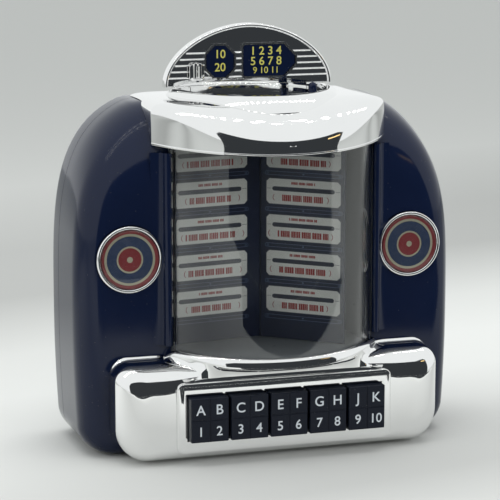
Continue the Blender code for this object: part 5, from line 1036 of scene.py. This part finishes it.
# %% Strips and inks
for side, word in ((-1, "left"), (1, "right")):
    layers = {name: bmesh.new() for name in ("edge", "card", "bar", "red", "line")}
    u0, u1 = SPAN[side]
    for row, low in enumerate(STRIP_LOW):
        high = min(low + STRIP_H, 128.4 * mm)
        cuts = (1.5 * mm,) * 4
        outline = cut_corners(u0, u1, low, high, cuts)
        add_layer(layers["edge"], side, outline, 0)
        add_layer(layers["card"], side, offset_outline(outline, 0.35 * mm), 0.03 * mm)
        mid = low + 0.60 * STRIP_H
        add_layer(layers["bar"], side, pill(u0 + 3 * mm, u1 - 3 * mm, mid, 0.95 * mm), 0.06 * mm)
        for a, b in ((u0 + 0.6 * mm, u0 + 2.6 * mm), (u1 - 2.6 * mm, u1 - 0.6 * mm)):
            add_layer(layers["bar"], side, box_outline(a, b, mid - 0.08 * mm, mid + 0.08 * mm), 0.06 * mm)
        centre = (u0 + u1) / 2
        for count, level, tall in ((16 + row % 3, 0.83, 1.1 * mm), (20 + 2 * (row % 3), 0.27, 2.7 * mm)):
            made, total = bars(row + (side > 0) * 2, count)
            scale = (0.72 if tall < 2 * mm else 1.0) * mm
            for a, b in made:
                middle = low + level * STRIP_H
                bar = box_outline(centre + (a - total / 2) * scale, centre + (b - total / 2) * scale,
                                  middle - tall / 2, middle + tall / 2)
                add_layer(layers["red"], side, bar, 0.06 * mm)
        for end in (-1, 1):
            a = centre + end * (total / 2 * mm + 1.3 * mm)
            brace = arc(a - end * 1.1 * mm, low + 0.27 * STRIP_H, 1.7 * mm, -0.9, 0.9, 8)
            if end < 0:
                brace = [(2 * a - u, w) for u, w in brace]
            brace += [(u - 0.3 * mm, w) for u, w in reversed(brace)]
            add_layer(layers["red"], side, brace, 0.06 * mm)
    for low in STRIP_LOW:
        w = low - 2.0 * mm
        add_pill_line(layers["line"], side, u0 - 0.4 * mm, u1 + 0.4 * mm, w, 0.85 * mm, 0.16 * mm, 0)
        for u in (u0 + 0.9 * mm, u1 - 0.9 * mm):
            add_pill_line(layers["line"], side, u - 0.45 * mm, u + 0.45 * mm, w, 0.45 * mm, 0.14 * mm, 0)
        diamond = [(centre - 0.5 * mm, w), (centre, w - 0.35 * mm), (centre + 0.5 * mm, w), (centre, w + 0.35 * mm)]
        add_layer(layers["line"], side, diamond, 0)
    for name, ink in (("edge", ink_edge), ("card", card_cream), ("bar", ink_edge), ("red", ink_red),
                      ("line", ink_pale)):
        dress(finish_mesh(layers[name], f"{word}_page_{name}", 20), "housing", ink, "title_card")
print("page print made")

# %% [markdown]
# ## Badges
# A badge is a plated ring, a printed disc and a clear dome. The print is a plain record: a cream rim,
# a grooved navy disc and a red centre. It is painted by distance from the badge's middle, so one
# material serves each badge with its own centre.

# %% Badge print
def badge_print(name, x):
    made, tree, shader = base_finish(name, 0.35)
    radius = group_node(tree, ROUND, X=x, Z=BADGE_Z).outputs["Radius"]
    ramp = put(tree, "ShaderNodeValToRGB")
    tree.links.new(maths(tree, "DIVIDE", radius, 12.2 * mm), ramp.inputs["Fac"])
    ramp.color_ramp.interpolation = "CONSTANT"
    cream, red, blue = (0.60, 0.56, 0.40), (0.33, 0.022, 0.030), (0.020, 0.045, 0.13)
    stops = [(0.0, cream), (0.10, red), (0.40, cream), (0.46, blue), (0.80, cream), (0.88, red)]
    while len(ramp.color_ramp.elements) < len(stops):
        ramp.color_ramp.elements.new(0.5)
    for element, (place, colour) in zip(ramp.color_ramp.elements, stops):
        element.position, element.color = place, (*colour, 1)
    grain = group_node(tree, GRAIN, Scale=1200.0)
    faded = tint(tree, maths(tree, "MULTIPLY", grain.outputs["Mask"], 0.12), ramp.outputs["Color"], (0.5, 0.5, 0.48))
    tree.links.new(faded, shader.inputs["Base Color"])
    groove = maths(tree, "SINE", maths(tree, "MULTIPLY", radius, 2 * pi / (0.55 * mm)), 0.0)
    relief = put(tree, "ShaderNodeBump", {"Height": groove}, Strength=0.35, Distance=0.0001)
    tree.links.new(relief.outputs["Normal"], shader.inputs["Normal"])
    return made


for side, word in ((-1, "left"), (1, "right")):
    centre = (side * BADGE_X, 0, BADGE_Z)
    back, front, inner = PANEL_Y + 0.7 * mm, PANEL_Y - 1.6 * mm, BADGE_R - 1.6 * mm
    shelf = back - 0.3 * mm
    roll = 0.8 * mm
    section = [(BADGE_R, back)]
    section += [(BADGE_R - roll + roll * cos(a), front + roll * (1 - sin(a))) for a in (pi * i / 14 for i in range(15))]
    section += [(inner, shelf), (inner - 1.6 * mm, shelf), (inner - 1.6 * mm, back)]
    ring = lathe(f"badge_bezel_{word}", section, centre, closed=True, steps=128)
    dress(ring, "housing", chrome, "chrome_plate", f"badge_ring_{word}")
    disc_back = shelf - 0.3 * mm
    rim = inner - 0.3 * mm
    disc = lathe(f"badge_face_{word}", [(rim, disc_back), (rim, disc_back - 0.6 * mm)], centre, steps=128)
    dress(disc, "housing", badge_print(f"record_print_{word}", side * BADGE_X), "badge_print", f"badge_disc_{word}")
    lens_back = disc_back - 0.9 * mm
    dome = [(rim, lens_back), (rim, lens_back - 0.4 * mm)]
    dome += [(rim * cos(a), lens_back - 0.5 * mm - 0.9 * mm * sin(a)) for a in (0.5 * pi * i / 24 for i in range(1, 24))]
    lens = lathe(f"badge_dome_{word}", dome, centre, steps=128)
    dress(lens, "housing", clear, "clear_plastic", f"badge_lens_{word}")
print("badge centres:", -BADGE_X, BADGE_X)

# %% [markdown]
# ## Small turned pieces
# Feet and screws are turned on a lathe of their own: a soft edge on the rubber, a domed head with a
# cross slot on each screw.

# %% Feet and screws
for number in range(1, 5):
    low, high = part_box(f"foot_{number}")
    radius, edge = (high.x - low.x) / 2, 0.3 * mm
    profile = [(radius - edge, low.z), (radius - 0.3 * edge, low.z + 0.3 * edge), (radius, low.z + edge),
               (radius, high.z)]
    foot = lathe(f"rubber_foot_{number}", profile, ((low.x + high.x) / 2, (low.y + high.y) / 2, 0), "Z", 64)
    dress(foot, "housing", rubber, "foot_rubber", f"foot_{number}")
for number, (x, z) in enumerate(SCREWS, start=1):
    low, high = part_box(f"housing_screw_{number}")
    profile = [(1.1 * mm, low.y), (1.1 * mm, high.y - 1.8 * mm), (2.6 * mm, high.y - 1.8 * mm),
               (2.6 * mm, high.y - 0.9 * mm)]
    profile += [(2.6 * mm * cos(a), high.y - 0.9 * mm + 0.9 * mm * sin(a)) for a in (0.4, 0.8, 1.2)]
    screw = lathe(f"screw_{number}", profile, (x, 0, z), "Y", 40)
    for a, b in ((0.35 * mm, 1.5 * mm), (1.5 * mm, 0.35 * mm)):
        bm = add_prism(bmesh.new(), box_outline(x - a, x + a, z - b, z + b), high.y - 0.8 * mm, high.y + 4 * mm)
        cut(screw, finish_mesh(bm, "cutter_slot"))
    dress(screw, "housing", steel, "bright_steel", f"housing_screw_{number}")
print("feet and screws: 8")

# %% [markdown]
# ## Finishes of the pieces that stay as they are
# The inner pieces keep the frame's own meshes, since only slots and gaps show them. Each still gets
# its real finish, because someone may open the model.

# %% Carried-over nodes
KEEP = {"display_box": display_grey, "left_title_page": card_navy, "right_title_page": card_navy,
        "button_switch": key_plastic, "switch_board": board, "sound_board": board, "speaker_frame": steel,
        "speaker_cone": paper, "speaker_magnet": ferrite, "battery_tray": key_plastic,
        "battery_contact_left": steel, "battery_contact_right": steel, "door_pin": steel,
        "button_spring": steel, "battery_door": navy, "power_switch": key_plastic}
KEEP.update({f"battery_{i}": cell_wrap for i in (1, 2, 3)})
KEEP.update({f"key_spring_{i}": steel for i in range(1, 6)})
for node, look in KEEP.items():
    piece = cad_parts[node]
    piece.data.materials.clear()
    piece.data.materials.append(look)
print("carried over:", len(KEEP))

# %% [markdown]
# ## Stage
# The table is one large plane. Its colour is painted by place: pale at the front, a band of painted
# shade just in front of the object, pale round it and grey further behind, where the table stands in
# for the backdrop, so no wall stands in the way of the other views.

# %% Table
def table_finish():
    made, tree, shader = base_finish("table_with_painted_shade", 0.9, specular=0.05)
    place = put(tree, "ShaderNodeSeparateXYZ", {"Vector": put(tree, "ShaderNodeTexCoord").outputs["Object"]})
    away = maths(tree, "ADD", maths(tree, "MULTIPLY", place.outputs["X"], -0.259),
                 maths(tree, "MULTIPLY", place.outputs["Y"], 0.966))
    ramp = put(tree, "ShaderNodeValToRGB")
    tree.links.new(maths(tree, "ADD", away, 0.3), ramp.inputs["Fac"])
    # Tones along the depth, front to back: the dip near 0.22 is painted shade just in front of the object, and the
    # darker tones further behind stand in for the backdrop.
    stops = [(0.02, 0.80), (0.10, 0.76), (0.17, 0.64), (0.22, 0.56), (0.25, 0.60), (0.30, 0.69), (0.36, 0.77),
             (0.42, 0.78), (0.50, 0.72), (0.57, 0.60), (0.63, 0.50), (0.76, 0.53), (1.0, 0.70)]
    while len(ramp.color_ramp.elements) < len(stops):
        ramp.color_ramp.elements.new(0.5)
    for element, (position, tone) in zip(ramp.color_ramp.elements, stops):
        element.position, element.color = position, (tone * 0.985, tone, tone * 0.975, 1)
    grain = group_node(tree, GRAIN, Scale=120.0)
    mixed = tint(tree, maths(tree, "MULTIPLY", grain.outputs["Mask"], 0.05), ramp.outputs["Color"], (0.6, 0.6, 0.58))
    tree.links.new(mixed, shader.inputs["Base Color"])
    return made


bm = bmesh.new()
bmesh.ops.create_grid(bm, x_segments=2, y_segments=2, size=6.0)
table = finish_mesh(bm, "table")
table.data.materials.append(table_finish())
print("table:", table.dimensions[:])

# %% [markdown]
# ## Light
# The photograph was taken in a light tent: pale walls all round, rows of small lamps above the open
# front, and the dark room beyond it. Plating shows nothing but its surroundings, so the tent is
# built: a bright world, one dark opening, a warm lamp and lamp rows that only reflections see.

# %% World and lamps
world = bpy.data.worlds.new("tent")
bpy.context.scene.world = world
world.use_nodes = True
world.node_tree.nodes["Background"].inputs["Color"].default_value = (0.78, 0.80, 0.80, 1)
glossy = put(world.node_tree, "ShaderNodeLightPath").outputs["Is Glossy Ray"]
strength = maths(world.node_tree, "ADD", maths(world.node_tree, "MULTIPLY", glossy, 0.26), 0.92)
world.node_tree.links.new(strength, world.node_tree.nodes["Background"].inputs["Strength"])


def area_lamp(name, location, target, size, power):
    lamp = bpy.data.lights.new(name, "AREA")
    lamp.shape, lamp.size, lamp.size_y, lamp.energy = "RECTANGLE", size[0], size[1], power
    thing = bpy.data.objects.new(name, lamp)
    bpy.context.scene.collection.objects.link(thing)
    thing.location = location
    thing.rotation_euler = (Vector(target) - Vector(location)).to_track_quat("-Z", "Y").to_euler()
    thing.visible_glossy = thing.visible_camera = thing.visible_transmission = False
    return thing


area_lamp("tent_top", (0.0, 0.05, 0.75), (0, 0, 0.08), (0.8, 0.6), 3.0)
area_lamp("tent_left", (-0.70, -0.10, 0.35), (0, 0, 0.08), (0.5, 0.5), 0.8)
area_lamp("tent_front", (0.30, -0.65, 0.34), (0, 0, 0.08), (0.5, 0.3), 1.1)

# %% Cards that only reflections see
def glow_finish(name, colour, strength):
    made = bpy.data.materials.new(name)
    made.use_nodes = True
    tree = made.node_tree
    tree.nodes.clear()
    light = put(tree, "ShaderNodeEmission", Color=(*colour, 1), Strength=strength)
    out = put(tree, "ShaderNodeOutputMaterial")
    tree.links.new(light.outputs[0], out.inputs["Surface"])
    return made


def reflected_only(thing, look):
    thing.data.materials.append(look)
    thing.visible_camera = thing.visible_diffuse = thing.visible_shadow = False
    thing.visible_transmission = look == dark_room
    return thing


dark_room = glow_finish("dark_room", (0.036, 0.040, 0.044), 1.0)
FRONT, ACROSS = Vector((0.259, -0.966, 0)), Vector((0.966, 0.259, 0))


def add_card(bm, outline, away):
    """A thin upright card across the tent, away metres in front of the object."""
    add_rings(bm, [[FRONT * f + ACROSS * a + Vector((0, 0, z)) for a, z in outline] for f in (away, away + 0.001)])


bm = bmesh.new()
add_card(bm, cut_corners(-0.50, 0.34, 0.002, 0.34, (0.001, 0.001, 0.05, 0.09)), 0.36)
# The flat piece lying on the table is painted shade: a dark sheet that only reflections see, which darkens the table
# near the open front in the plating.
floor_shade_patch = ((0.225, -0.20), (0.36, -0.34), (0.36, 0.34), (0.225, 0.34))
add_prism(bm, [(FRONT * f + ACROSS * a).to_2d()[:] for f, a in floor_shade_patch], 0.001, 0.0015, "Z")
reflected_only(finish_mesh(bm, "dark_opening_and_floor_shade"), dark_room)
bm = bmesh.new()
add_card(bm, box_outline(0.22, 0.31, 0.245, 0.268), 0.355)
reflected_only(finish_mesh(bm, "warm_lamp"), glow_finish("warm_lamp", (1.0, 0.70, 0.30), 1.6))
lamp_white = glow_finish("lamp_row", (1.0, 0.99, 0.96), 14.0)
bm = bmesh.new()
for away in (-0.05, 0.02):
    for i in range(26):
        centre = FRONT * away + ACROSS * ((i - 12.5) * 0.052) + Vector((0, 0, 0.72))
        add_rings(bm, turned_rings([(0.008, 0), (0.008, 0.001)], centre, "Z", 12))
reflected_only(finish_mesh(bm, "lamp_rows"), lamp_white)
print("reflected only: the opening, a warm lamp and two lamp rows")

# %% [markdown]
# ## Camera
# A long lens from the left, a little above. Its place was worked out from the outlines of the object
# in the photograph.

# %% Camera
TURN, RAISE, DISTANCE = radians(17.773), radians(10.359), 939.511 * mm
target = Vector((-4.575 * mm, 1.5 * mm, 82.624 * mm))
back = Vector((-sin(TURN) * cos(RAISE), -cos(TURN) * cos(RAISE), sin(RAISE)))
lens = bpy.data.cameras.new("camera")
lens.lens, lens.sensor_width, lens.clip_start = 158.4, 36.0, 0.01
camera = bpy.data.objects.new("camera", lens)
bpy.context.scene.collection.objects.link(camera)
camera.location = target + back * DISTANCE
camera.rotation_mode = "QUATERNION"
camera.rotation_quaternion = back.to_track_quat("Z", "Y")
bpy.context.scene.camera = camera
bpy.context.scene.view_settings.view_transform = "Standard"
print("camera at", [round(v, 3) for v in camera.location])
